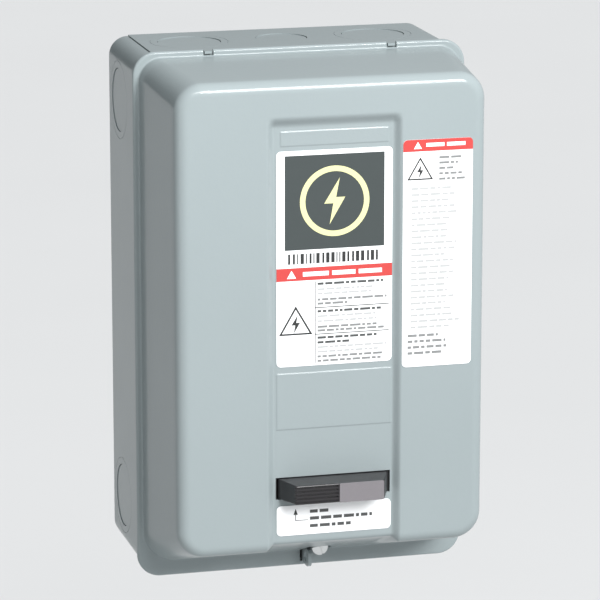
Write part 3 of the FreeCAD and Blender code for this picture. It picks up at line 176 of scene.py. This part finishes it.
def tint(colour, factor):
    return tuple(min(1.0, channel * factor) for channel in colour[:3]) + (1.0,)


def enamel():
    """Baked grey enamel: faint orange peel, slow colour drift, a few dull handling marks."""
    n = Nodes("grey_enamel")
    base = printed_tone(168, 179, 181)
    drift = n.noise(9, 4)
    specks = n.noise(700, 2, 0.7)
    colour = n.mix(drift, tint(base, 0.96), tint(base, 1.04))
    colour = n.mix(n.ramp(specks, 0.0, 0.10), colour, tint(base, 0.9))
    peel = n.bump(n.noise(420, 2, 0.4), 0.10, 0.0004)
    peel = n.bump(n.noise(1500, 2, 0.5), 0.05, 0.0002, peel)
    n.set(Base_Color=colour, Roughness=n.ramp(n.noise(25, 4), 0.26, 0.34), Normal=peel,
          Specular_IOR_Level=0.06, Coat_Weight=0.32, Coat_Roughness=0.10)
    return n.material


def print_film(name, colour, rough=0.42):
    """Ink or white film with a very slight unevenness."""
    n = Nodes(name)
    wash = n.noise(160, 3)
    n.set(Base_Color=n.mix(wash, tint(colour, 0.97), tint(colour, 1.02)),
          Roughness=n.ramp(n.noise(300, 2), rough - 0.04, rough + 0.04),
          Normal=n.bump(n.noise(900, 2), 0.03, 0.0001))
    return n.material


def moulded(name, colour, rough=0.5, grain=1400, strength=0.18, speck=0.12):
    """Moulded plastic or phenolic with a fine eroded texture."""
    n = Nodes(name)
    mottle = n.noise(grain * 0.3, 4, 0.6)
    n.set(Base_Color=n.mix(mottle, tint(colour, 1 - speck), tint(colour, 1 + speck)),
          Roughness=n.ramp(n.noise(grain * 0.1, 3), rough - 0.07, rough + 0.07),
          Normal=n.bump(n.noise(grain, 3, 0.6), strength, 0.0002))
    return n.material


def metal(name, colour, rough=0.3, stretch=(1, 1, 1), grain=500, strength=0.08):
    """Bare or plated metal with drawn or rolled grain."""
    n = Nodes(name)
    streaks = n.noise(grain, 4, 0.6, stretch)
    n.set(Base_Color=n.mix(streaks, tint(colour, 0.86), tint(colour, 1.06)),
          Metallic=1.0, Roughness=n.ramp(n.noise(60, 4), rough - 0.07, rough + 0.09),
          Normal=n.bump(streaks, strength, 0.0001))
    return n.material


def button_plastic():
    """The reset button: dark moulded plastic whose smooth right half is a paler grey."""
    n = Nodes("button_plastic")
    dark, pale = printed_tone(40, 38, 41), printed_tone(138, 134, 138)
    pale_from, pad_front = 0.9 * MM, -150.6 * MM
    split = n.add("ShaderNodeSeparateXYZ")
    n.join(n.place, split.inputs[0])
    right = n.add("ShaderNodeMath", operation="GREATER_THAN")
    right.inputs[1].default_value = pale_from
    n.join(split.outputs["X"], right.inputs[0])
    front = n.add("ShaderNodeMath", operation="LESS_THAN")
    front.inputs[1].default_value = pad_front
    n.join(split.outputs["Y"], front.inputs[0])
    pad = n.add("ShaderNodeMath", operation="MULTIPLY")
    n.join(right.outputs[0], pad.inputs[0])
    n.join(front.outputs[0], pad.inputs[1])
    mottle = n.noise(500, 4)
    dark_tone = n.mix(mottle, tint(dark, 0.85), tint(dark, 1.15))
    pale_tone = n.mix(mottle, tint(pale, 0.93), tint(pale, 1.05))
    n.set(Base_Color=n.mix(pad.outputs[0], dark_tone, pale_tone),
          Roughness=n.ramp(n.noise(120, 3), 0.26, 0.36),
          Normal=n.bump(n.noise(1600, 3), 0.15, 0.0002))
    return n.material


ENAMEL = enamel()
FILM = print_film("label_film", srgb(236, 237, 238))
INK_DARK = print_film("ink_dark_grey", printed_tone(70, 78, 78), 0.35)
INK_RED = print_film("ink_red", printed_tone(222, 74, 70))
INK_YELLOW = print_film("ink_pale_yellow", printed_tone(252, 250, 188))
INK_BLACK = print_film("ink_black", printed_tone(48, 50, 50))
INK_TEXT = print_film("ink_text_grey", printed_tone(88, 90, 90))
INK_MID = print_film("ink_mid_grey", printed_tone(150, 152, 152))
INK_PALE = print_film("ink_pale_grey", printed_tone(206, 208, 208))
ZINC = metal("zinc_plate", srgb(214, 216, 216), 0.28)
FINISHES = {
    "enamel": ENAMEL,
    "label": FILM,
    "button_black": moulded("guide_plastic", srgb(24, 25, 27), 0.35),
    "zinc": ZINC,
    "core_steel": metal("core_steel", srgb(150, 150, 152), 0.42, (1, 1, 12), 600, 0.2),
    "spring_steel": metal("spring_wire", srgb(176, 178, 182), 0.25),
    "phenolic_black": moulded("phenolic_black", srgb(46, 45, 46), 0.42, 900),
    "phenolic_brown": moulded("phenolic_brown", srgb(108, 66, 48), 0.42, 900),
    "nylon_white": moulded("nylon_white", srgb(226, 222, 208), 0.45, 700, 0.08, 0.04),
    "coil_tape": moulded("coil_tape", srgb(186, 150, 70), 0.55, 400, 0.3, 0.15),
    "copper": metal("copper_strip", srgb(206, 130, 96), 0.3, (1, 1, 0.1)),
    "silver": metal("silver_tip", srgb(226, 226, 220), 0.25),
    "brass_part": metal("brass_part", srgb(208, 176, 104), 0.26),
    "reset_red": moulded("reset_red", srgb(176, 36, 30), 0.4),
    "green_screw": metal("green_screw", srgb(60, 132, 78), 0.35),
    "wire_insulation": moulded("wire_insulation", srgb(38, 38, 42), 0.45, 600, 0.06),
}
for part in frame["record"]["subparts"]:
    slots = NODES[part["node"]].data.materials
    finish = FINISHES[part["material_slot"]]
    if len(slots):
        for place in range(len(slots)):
            slots[place] = finish
    else:
        slots.append(finish)
NODES["reset_button"].data.materials[0] = button_plastic()


# Broken edges on the pressed sheet, so that they catch the light.
EASED = {"base_wrapper": 0.45, "knockouts_top": 0.45, "knockouts_bottom": 0.45,
         "knockouts_left": 0.45, "knockouts_right": 0.45, "top_hooks": 0.3, "padlock_ear": 0.35,
         "cover_screw": 0.3, "cover_screw_washer": 0.2, "reset_button": 0.25}
for name, width in EASED.items():
    bevel = NODES[name].modifiers.new("eased_edges", "BEVEL")
    bevel.width = width * MM
    bevel.segments = 3
    bevel.limit_method = "ANGLE"
    bevel.angle_limit = math.radians(40)
    bevel.use_clamp_overlap = True


# ---------------------------------------------------------------- meshes
def new_piece(name, vertices, faces, material, body, slot, *replaced):
    mesh = bpy.data.meshes.new(name)
    mesh.from_pydata([tuple(v) for v in vertices], [], faces)
    mesh.materials.append(material)
    mesh.update()
    piece = bpy.data.objects.new(name, mesh)
    bpy.context.scene.collection.objects.link(piece)
    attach(piece, body)
    if replaced:
        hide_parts(*replaced)
    return piece


def shade(piece, sharp_degrees):
    """Smooth shading with every edge sharper than the angle kept crisp."""
    work = bmesh.new()
    work.from_mesh(piece.data)
    for face in work.faces:
        face.smooth = True
    for edge in work.edges:
        edge.smooth = edge.calc_face_angle(0) < math.radians(sharp_degrees)
    work.to_mesh(piece.data)
    work.free()


# ---------------------------------------------------------------- drawn cover
def ease(t):
    t = min(1.0, max(0.0, t))
    return t * t * (3 - 2 * t)


def between(value, limits):
    return ease((value - limits[0]) / (limits[1] - limits[0]))


def lines(*stops):
    """Grid lines: each stop is (place, largest step to the next place); the last has none."""
    made = []
    for (start, step), (end, _) in zip(stops, stops[1:]):
        count = max(1, round((end - start) / step))
        made += [start + (end - start) * k / count for k in range(count)]
    return made + [stops[-1][0]]


MID_X = FACE["half"] - FACE["r_low"]
MID_LOW = FACE["low"] + FACE["r_low"]
MID_TOP = FACE["top"] - FACE["r_top"]
COLUMNS = lines((-MID_X, 3.1), (-53.8, 2.8), (-48.2, 3.1), (-36.4, 0.45), (-30.35, 0.33),
                (-26.8, 2.6), (-0.4, 1.2), (4.4, 0.5), (7.8, 0.6), (13.2, 0.5), (16.4, 2.6),
                (30.6, 0.35), (33.15, 0.43), (38.8, 3.1), (48.2, 2.8), (53.8, 3.1), (MID_X, 0))
ROWS = lines((MID_LOW, 3.0), (-88.2, 3.05), (-76.0, 3.2), (-50.6, 0.33), (-48.6, 3.2),
             (-19.8, 0.33), (-17.8, 4.0), (103.2, 0.33), (105.2, 1.5), (111.0, 0.33),
             (113.0, 0.55), (121.6, 0.9), (MID_TOP, 0))
LAST_COLUMN = len(COLUMNS) - 1 + 2 * CORNER_STEPS
LAST_ROW = len(ROWS) - 1 + 2 * CORNER_STEPS


def zone(index, last, places):
    """(side, share): side -1 or 1 with 0..1 across a corner zone, or (0, place) between them."""
    if index < CORNER_STEPS:
        return -1, 1 - index / CORNER_STEPS
    if index > last - CORNER_STEPS:
        return 1, 1 - (last - index) / CORNER_STEPS
    return 0, places[index - CORNER_STEPS]


def stretched(place, keep, end, new_end):
    """Move places beyond `keep` so that the end of the straight run lands on the new one."""
    if abs(place) <= keep:
        return place
    share = (abs(place) - keep) / (abs(end) - keep)
    return math.copysign(keep + share * (abs(new_end) - keep), place)


def corner_direction(side_x, side_z, across, up):
    """Outward direction in a corner zone, for the shares across and up in it."""
    quarter = math.pi / 4
    angle = quarter * up / across if up <= across else 2 * quarter - quarter * across / up
    return Vector((side_x * math.cos(angle), side_z * math.sin(angle)))


def outline_at(section, column, row):
    """Point and outward direction on a section's outline, for one place on the grid's border."""
    side_x, across = zone(column, LAST_COLUMN, COLUMNS)
    side_z, up = zone(row, LAST_ROW, ROWS)
    radius = section["r_low"] if side_z < 0 else section["r_top"]
    middle_x = section["half"] - radius
    if side_x and side_z:
        out = corner_direction(side_x, side_z, across, up)
        middle_z = section["low"] + radius if side_z < 0 else section["top"] - radius
        return Vector((side_x * middle_x, middle_z)) + out * radius, out
    if side_x:
        new_low, new_top = section["low"] + section["r_low"], section["top"] - section["r_top"]
        ends = (KEEP_LOW, MID_LOW, new_low) if up < 0 else (KEEP_TOP, MID_TOP, new_top)
        return (Vector((side_x * section["half"], stretched(up, *ends))),
                Vector((side_x, 0)))
    x = stretched(across, KEEP_ACROSS, MID_X, middle_x)
    return Vector((x, section["low"] if side_z < 0 else section["top"])), Vector((0, side_z))


def turn_of(run, out):
    """The angle that the sheet turns through, from the face to a wall with this run."""
    return math.pi / 2 - math.atan(run.dot(out) / DOME_TALL)


def wall_lean(column, row):
    """Face point, outward direction, the wall's run to the root, and how far it turns."""
    point, out = outline_at(FACE, column, row)
    root, _ = outline_at(ROOT, column, row)
    run = root - point
    return point, out, run, turn_of(run, out)


def recess(x, z):
    """How much of the channel's depth applies at a place on the face, 0 to 1."""
    return (between(x, CHANNEL_LEFT) * (1 - between(x, CHANNEL_RIGHT))
            * (1 - between(z, CHANNEL_TOP)))


def panel_rise(x, z):
    """How far the channel's raised panels stand out at a place on the face."""
    rise = 0.0
    for left, right, low, top in PANELS:
        inside = min(x - left, right - x, z - low, top - z)
        rise = max(rise, ease(inside / PANEL_EDGE + 0.5))
    return rise * PANEL_PROUD


def face_point(column, row):
    """A point of the flat face, before the channel is pressed in."""
    side_x, across = zone(column, LAST_COLUMN, COLUMNS)
    side_z, up = zone(row, LAST_ROW, ROWS)
    if not side_x and not side_z:
        return Vector((across, up))
    if side_x and side_z:
        centre = Vector((side_x * MID_X, MID_LOW if side_z < 0 else MID_TOP))
        share = max(across, up)
        if share == 0:
            return centre
        out, turn = corner_border(side_x, side_z, across, up)
        return centre + out * (share * (FACE["r_low"] - FACE_ROUND * math.tan(turn / 2)))
    if side_x:
        border_column = 0 if side_x < 0 else LAST_COLUMN
        point, out, _, turn = wall_lean(border_column, row)
        edge = point - out * (FACE_ROUND * math.tan(turn / 2))
        return Vector((side_x * (MID_X + across * (abs(edge.x) - MID_X)), up))
    border_row = 0 if side_z < 0 else LAST_ROW
    point, out, _, turn = wall_lean(column, border_row)
    edge = point - out * (FACE_ROUND * math.tan(turn / 2))
    start = MID_LOW if side_z < 0 else MID_TOP
    return Vector((across, start + up * (edge.y - start)))


def corner_border(side_x, side_z, across, up):
    """Outward direction and turn of the border, for an inner point of a corner zone."""
    out = corner_direction(side_x, side_z, across, up)
    low = side_z < 0
    radius = ROOT["r_low"] if low else ROOT["r_top"]
    point = Vector((side_x * MID_X, MID_LOW if low else MID_TOP)) + out * FACE["r_low"]
    root_middle = Vector((side_x * (ROOT["half"] - radius),
                          ROOT["low"] + radius if low else ROOT["top"] - radius))
    run = root_middle + out * radius - point
    return out, turn_of(run, out)


ROUND_STEPS = 9
WALL_DEPTHS = (128.0, 120.0, 111.0, 102.0, 95.0, 91.0, 87.5, 84.5, 82.0, 79.5, 77.5, 75.5, 74.2)
ROOT_STEPS = 3
LEDGE_SHARES = (0.17, 0.36, 0.56, 0.70, 0.85, 1.0)
RIM_STEPS = 4


def pocket_edge(x):
    """Z of the screw pocket's round wall at one X, or None beside it."""
    off = x - SCREW_AT[0]
    return SCREW_AT[1] + math.sqrt(POCKET ** 2 - off ** 2) if abs(off) < POCKET else None


def border_profile(column, row):
    """Points from the face's flat border out to the lip's end, as (x, depth, z)."""
    point, out, run, turn = wall_lean(column, row)
    straight_low = row == 0 and not zone(column, LAST_COLUMN, COLUMNS)[0]
    pressed = recess(point.x, MID_LOW) if straight_low else 0.0
    drift = run - out * run.dot(out)
    flat_in = FACE_ROUND * math.tan(turn / 2)
    made = []
    for step in range(1, ROUND_STEPS + 1):
        angle = turn * step / ROUND_STEPS
        drop = FACE_ROUND * (1 - math.cos(angle))
        at = point + out * (FACE_ROUND * math.sin(angle) - flat_in) + drift * (drop / DOME_TALL)
        at = at - out * (pressed * CHANNEL_DEEP * math.sin(angle))
        made.append((at, FACE_DEPTH - drop - pressed * CHANNEL_DEEP * math.cos(angle)))
    for depth in WALL_DEPTHS:
        at = point + run * ((FACE_DEPTH - depth) / DOME_TALL)
        fade = CHANNEL_DEEP * pressed * (depth - LEDGE_DEPTH) / DOME_TALL
        made.append((at - out * (fade * math.sin(turn)), depth - fade * math.cos(turn) * 0.5))
    root, root_out = outline_at(ROOT, column, row)
    root_in = ROOT_ROUND * math.tan(turn / 2)
    for step in range(ROOT_STEPS + 1):
        angle = turn * (1 - step / ROOT_STEPS)
        at = root + root_out * (root_in - ROOT_ROUND * math.sin(angle))
        made.append((at, LEDGE_DEPTH + ROOT_ROUND * (1 - math.cos(angle))))
    if straight_low and pocket_edge(point.x) is not None:
        cap = pocket_edge(point.x)
        made = [(Vector((at.x, max(at.y, cap))), depth) for at, depth in made]
    ledge_start = made[-1][0]
    rim, rim_out = outline_at(RIM, column, row)
    ledge_end = rim - rim_out * RIM_ROUND
    for share in LEDGE_SHARES:
        made.append((ledge_start.lerp(ledge_end, share), LEDGE_DEPTH))
    for step in range(1, RIM_STEPS + 1):
        angle = math.pi / 2 * step / RIM_STEPS
        made.append((rim - rim_out * (RIM_ROUND * (1 - math.sin(angle))),
                     LEDGE_DEPTH - RIM_ROUND * (1 - math.cos(angle))))
    made.append((rim, LIP_DEPTH))
    return [(at.x, depth, at.y) for at, depth in made]


def border_cycle():
    """Grid places round the face's border, anticlockwise from the lower left."""
    cycle = [(column, 0) for column in range(LAST_COLUMN)]
    cycle += [(LAST_COLUMN, row) for row in range(LAST_ROW)]
    cycle += [(column, LAST_ROW) for column in range(LAST_COLUMN, 0, -1)]
    cycle += [(0, row) for row in range(LAST_ROW, 0, -1)]
    return cycle


WALL_START = ROUND_STEPS
ROOT_START = WALL_START + len(WALL_DEPTHS)
LEDGE_START = ROOT_START + ROOT_STEPS


def side_cell_open(column, next_column, row, step):
    """True where the cell between two border columns and profile steps is cut away."""
    beside = [c - CORNER_STEPS for c in (column, next_column)]
    if not all(0 <= place < len(COLUMNS) for place in beside):
        return False
    middle = sum(COLUMNS[place] for place in beside) / 2
    if row == 0:
        if EAR_SLOT[0] < middle < EAR_SLOT[1]:
            slot_row = WALL_START + WALL_DEPTHS.index(EAR_SLOT[2])
            return slot_row <= step < LEDGE_START + len(LEDGE_SHARES)
        if abs(middle - SCREW_AT[0]) < HOLE_HALF:
            return LEDGE_START < step <= LEDGE_START + 2
        return False
    notched = any(left < middle < right for left, right in NOTCHES)
    return notched and step >= LEDGE_START


def make_cover():
    """The cover's outer side as points and cells, then thickened to a sheet."""
    points, faces = [], []
    grid = {}
    for row in range(LAST_ROW + 1):
        for column in range(LAST_COLUMN + 1):
            at = face_point(column, row)
            depth = FACE_DEPTH - CHANNEL_DEEP * recess(at.x, at.y) + panel_rise(at.x, at.y)
            grid[column, row] = len(points)
            points.append((at.x, depth, at.y))
    cut = []
    left, right, low, top = OPENING
    for row in range(LAST_ROW):
        for column in range(LAST_COLUMN):
            cell = [grid[column, row], grid[column + 1, row], grid[column + 1, row + 1],
                    grid[column, row + 1]]
            x, _, z = np.mean([points[i] for i in cell], axis=0)
            (cut if left < x < right and low < z < top else faces).append(cell)
    cycle = border_cycle()
    profiles = []
    for column, row in cycle:
        chain = [grid[column, row]]
        for point in border_profile(column, row):
            chain.append(len(points))
            points.append(point)
        profiles.append(chain)
    for index, (column, row) in enumerate(cycle):
        following = (index + 1) % len(cycle)
        other = cycle[following]
        first, second = profiles[index], profiles[following]
        level = row == other[1] and row in (0, LAST_ROW)
        for step in range(len(first) - 1):
            cell = [first[step], first[step + 1], second[step + 1], second[step]]
            opened = level and side_cell_open(column, other[0], row, step)
            (cut if opened else faces).append(cell)
    return thicken(points, faces, cut)


def thicken(points, faces, cut):
    """Add the sheet's inner side and the narrow faces round every opening."""
    outer = np.array([(x, -depth, z) for x, depth, z in points])
    normals = np.zeros_like(outer)
    for cell in faces + cut:
        a, b, c, e = (outer[i] for i in cell)
        normal = np.cross(c - a, e - b)
        for i in cell:
            normals[i] += normal
    lengths = np.linalg.norm(normals, axis=1)
    normals /= np.maximum(lengths, 1e-9)[:, None]
    inner = outer - normals * SHEET
    count = len(outer)
    made = list(faces) + [[i + count for i in reversed(cell)] for cell in faces]
    uses = {}
    for cell in faces:
        for start, end in zip(cell, cell[1:] + cell[:1]):
            uses[start, end] = uses.get((start, end), 0) + 1
    for start, end in uses:
        if (end, start) not in uses:
            made.append([end, start, start + count, end + count])
    return np.vstack([outer, inner]) * MM, made


cover_points, cover_faces = make_cover()
cover = new_piece("cover_drawn_shell", cover_points, cover_faces, ENAMEL, "cover", "enamel",
                  "cover_shell")
shade(cover, 42)


# ---------------------------------------------------------------- printing on the labels
# Places and sizes are in mm: x to the right, z up.
SHORTEST_BAR, LONGEST_BAR = 1.6, 6.0
TRIANGLE_TALL = 1.72


def block(x0, x1, z0, z1):
    return [(x0, z0), (x1, z0), (x1, z1), (x0, z1)]


def printed(name, shapes, depth, material):
    """Flat printed shapes lying just above a label."""
    vertices, faces = [], []
    for shape in shapes:
        faces.append(list(range(len(vertices), len(vertices) + len(shape))))
        vertices += [(x * MM, -depth * MM, z * MM) for x, z in shape]
    return new_piece(name, vertices, faces, material, "cover", "label")


def words(rng, x0, x1, z, tall, fill=1.0):
    """A row of plain short bars with gaps, about as long as words."""
    made, x = [], x0
    end = x0 + (x1 - x0) * fill
    while x < end - 1.0:
        length = min(rng.uniform(SHORTEST_BAR, LONGEST_BAR), end - x)
        made.append(block(x, x + length, z - tall / 2, z + tall / 2))
        x += length + tall * 0.6
    return made


def ring(x, z, outer, inner, steps=64):
    made = []
    for k in range(steps):
        a, b = (2 * math.pi * (k + j) / steps for j in (0, 1))
        made.append([(x + outer * math.cos(a), z + outer * math.sin(a)),
                     (x + outer * math.cos(b), z + outer * math.sin(b)),
                     (x + inner * math.cos(b), z + inner * math.sin(b)),
                     (x + inner * math.cos(a), z + inner * math.sin(a))])
    return made


BOLT = ((0.22, 1.0), (-0.46, -0.10), (-0.06, -0.10), (-0.22, -1.0), (0.46, 0.16), (0.06, 0.16))


def bolt(x, z, half_tall):
    return [(x + px * half_tall, z + pz * half_tall) for px, pz in BOLT]


def triangle(x, z, half):
    tall = half * TRIANGLE_TALL
    return [(x - half, z - tall / 3), (x + half, z - tall / 3), (x, z + tall * 2 / 3)]


def triangle_frame(x, z, half, wide):
    """An upright triangle drawn as three bands."""
    corners = triangle(x, z, half)
    share = 1 - 2 * wide / half
    inner = [(x + (cx - x) * share, z + (cz - z) * share) for cx, cz in corners]
    return [[corners[i], corners[(i + 1) % 3], inner[(i + 1) % 3], inner[i]] for i in range(3)]


def band_with_round_top(x0, x1, z0, z1, radius, steps=8):
    turns = [math.pi / 2 * k / steps for k in range(steps + 1)]
    middle = z1 - radius
    right = [(x1 - radius + radius * math.cos(a), middle + radius * math.sin(a)) for a in turns]
    left = [(x0 + radius - radius * math.sin(a), middle + radius * math.cos(a)) for a in turns]
    return [(x0, z0), (x1, z0), *right, *left]


LABEL_FRONT = FLOOR_DEPTH + PLATE_THICK
SIDE_FRONT = FACE_DEPTH + PLATE_THICK


def print_nameplate():
    rng = random.Random(11)
    front = LABEL_FRONT + LAYER
    printed("nameplate_dark_field", [block(-25.3, 29.2, 48.2, 99.0)], front, INK_DARK)
    emblem = ring(1.95, 73.8, 19.0, 16.0) + [bolt(1.95, 73.8, 12.5)]
    printed("nameplate_emblem", emblem, front + LAYER, INK_YELLOW)
    bars, x = [], -23.5
    while x < 27.0:
        wide = rng.choice((0.7, 1.2, 1.9))
        bars.append(block(x, x + wide, 40.6, 46.2))
        x += wide + rng.choice((0.9, 1.4))
    printed("nameplate_bar_strip", bars, front, INK_BLACK)
    printed("nameplate_red_band", [block(-29.8, 33.6, 31.6, 38.6)], front, INK_RED)
    band_marks = [triangle(-21.6, 34.4, 2.5), block(-15.4, -1.2, 33.8, 36.2),
                  block(0.6, 13.4, 33.8, 36.2), block(15.2, 28.0, 33.8, 36.2)]
    printed("nameplate_band_marks", band_marks, front + LAYER, FILM)
    rules = [block(-8.9, -8.4, -13.8, 30.9), block(-8.4, 32.0, 16.2, 16.75),
             block(-8.4, 32.0, 1.7, 2.25)]
    printed("nameplate_rules", rules, front, INK_TEXT)
    dark = [(29.4, 0.93), (14.4, 0.9), (0.0, 0.88), (-2.6, 0.45)]
    middle = [(20.8, 0.98), (18.6, 0.46), (5.9, 0.84), (3.9, 0.98), (-10.3, 0.92), (-12.7, 0.9)]
    pale = [(26.4, 0.82), (24.0, 0.76), (11.7, 0.82), (9.0, 0.84), (-5.2, 0.98), (-7.7, 0.86)]
    for name, rows, tall, ink in (("dark", dark, 1.35, INK_TEXT), ("mid", middle, 1.3, INK_MID),
                                  ("pale", pale, 1.2, INK_PALE)):
        shapes = [bar for z, fill in rows for bar in words(rng, -7.4, 31.5, z, tall, fill)]
        printed(f"nameplate_rows_{name}", shapes, front, ink)
    sign = triangle_frame(-19.3, 7.4, 9.2, 0.85) + [bolt(-19.3, 8.0, 5.2)]
    printed("nameplate_sign", sign, front, INK_BLACK)


def print_side_label():
    rng = random.Random(23)
    front = SIDE_FRONT + LAYER
    printed("side_red_band", [band_with_round_top(38.4, 76.8, 98.6, 105.0, 2.4)], front, INK_RED)
    marks = [triangle(46.4, 101.3, 2.2), block(51.0, 61.0, 101.0, 103.0),
             block(62.4, 72.6, 101.0, 103.0)]
    printed("side_band_marks", marks, front + LAYER, FILM)
    sign = triangle_frame(47.8, 87.4, 7.2, 0.7) + [bolt(47.8, 87.9, 4.0)]
    printed("side_sign", sign, front, INK_BLACK)
    heading = [bar for k, fill in enumerate((0.85, 0.66, 0.5, 0.8, 1.0))
               for bar in words(rng, 58.2, 74.0, 95.0 - 2.9 * k, 1.3, fill)]
    printed("side_heading_rows", heading, front, INK_MID)
    body = []
    for k in range(24):
        z = 78.6 - 3.28 * k
        if k in (0, 6, 11, 15, 19):
            body.append(block(41.4, 42.2, z - 0.4, z + 0.4))
        body += words(rng, 43.0, 71.5, z, 1.3, rng.uniform(0.62, 1.0))
    printed("side_body_rows", body, front, INK_PALE)
    closing = [bar for k, fill in enumerate((0.72, 0.9, 0.92, 0.8))
               for bar in words(rng, 41.4, 65.0, -1.4 - 3.2 * k, 1.5, fill)]
    printed("side_closing_rows", closing, front, INK_MID)


def print_reset_label():
    rng = random.Random(5)
    front = LABEL_FRONT + LAYER
    rows = []
    for z, end in ((-95.8, -0.4), (-99.7, 23.2), (-103.9, 12.5)):
        rows += words(rng, -11.5, end, z, 1.8)
    arrow = [[(-20.6, -97.2), (-18.2, -97.2), (-19.4, -93.8)],
             block(-19.6, -19.2, -100.6, -97.2), block(-19.2, -12.6, -100.6, -100.25)]
    printed("reset_label_rows", rows, front, INK_TEXT)
    printed("reset_label_arrow", arrow, front, INK_BLACK)


print_nameplate()
print_side_label()
print_reset_label()


# ---------------------------------------------------------------- floor, lights and camera
def floor_material():
    n = Nodes("pale_floor")
    n.set(Base_Color=n.mix(n.noise(3, 2), (0.64, 0.64, 0.64, 1), (0.66, 0.66, 0.66, 1)),
          Roughness=0.9)
    return n.material


FLOOR_BELOW = 0.45
FLOOR_HALF = 9.0
floor_mesh = bpy.data.meshes.new("floor")
floor_mesh.from_pydata([(x, y, -FLOOR_BELOW) for x, y in ((-FLOOR_HALF, -FLOOR_HALF),
                       (FLOOR_HALF, -FLOOR_HALF), (FLOOR_HALF, FLOOR_HALF),
                       (-FLOOR_HALF, FLOOR_HALF))], [], [(0, 1, 2, 3)])
floor_mesh.materials.append(floor_material())
floor = bpy.data.objects.new("floor", floor_mesh)
bpy.context.scene.collection.objects.link(floor)


def strip_light(name, place, aim, wide, tall, power):
    light = bpy.data.lights.new(name, "AREA")
    light.shape = "RECTANGLE"
    light.size, light.size_y = wide, tall
    light.energy = power
    lamp = bpy.data.objects.new(name, light)
    lamp.location = place
    lamp.rotation_euler = (Vector(aim) - Vector(place)).to_track_quat("-Z", "Y").to_euler()
    bpy.context.scene.collection.objects.link(lamp)


# A wide, even light from the front and above; the room is bright in front and dark behind.
key = bpy.data.lights.new("key_light", "SUN")
key.energy = 3.2
key.angle = math.radians(24)
key_lamp = bpy.data.objects.new("key_light", key)
key_lamp.rotation_euler = Vector((-0.30, 0.80, -0.52)).to_track_quat("-Z", "Y").to_euler()
bpy.context.scene.collection.objects.link(key_lamp)
strip_light("top_softbox", (0.05, -0.62, 0.50), (0.0, -0.139, 0.14), 0.5, 0.16, 3.4)
strip_light("left_strip", (-1.5, -1.0, 0.0), (0, -0.1, 0), 0.07, 1.6, 2.6)

world = bpy.data.worlds.new("studio")
world.use_nodes = True
sky = world.node_tree
towards = sky.nodes.new("ShaderNodeTexCoord")
brightest = sky.nodes.new("ShaderNodeVectorMath")
brightest.operation = "DOT_PRODUCT"
brightest.inputs[1].default_value = Vector((0.66, -0.30, 0.66)).normalized()
level = sky.nodes.new("ShaderNodeMapRange")
for socket, value in (("From Min", -0.45), ("From Max", 0.9), ("To Min", 0.03), ("To Max", 1.0)):
    level.inputs[socket].default_value = value
sky.links.new(towards.outputs["Generated"], brightest.inputs[0])
sky.links.new(brightest.outputs["Value"], level.inputs["Value"])
sky.links.new(level.outputs["Result"], sky.nodes["Background"].inputs["Strength"])
sky.nodes["Background"].inputs["Color"].default_value = (0.95, 0.98, 1.0, 1)
bpy.context.scene.world = world
bpy.context.scene.view_settings.view_transform = "Standard"

CAMERA_AT = (-0.49807, -1.9661, 0.47619)
CAMERA_TURN = math.radians(14.725)
CAMERA_TILT = math.radians(13.517)
camera_data = bpy.data.cameras.new("camera")
camera_data.sensor_width = 36
camera_data.lens = 220.8
camera = bpy.data.objects.new("camera", camera_data)
camera.location = CAMERA_AT
camera.rotation_euler = (math.pi / 2 - CAMERA_TILT, 0, -CAMERA_TURN)
camera_data.clip_end = 60
bpy.context.scene.collection.objects.link(camera)
bpy.context.scene.camera = camera

# Each spring gets a mesh of its own.
for spring, joint, travel in (("reset_button_spring", "reset_button_push", 0.005),
                              ("overload_reset_spring", "overload_reset_push", 0.005),
                              ("return_springs", "contactor_travel", 0.005)):
    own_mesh(frame["nodes"][spring])
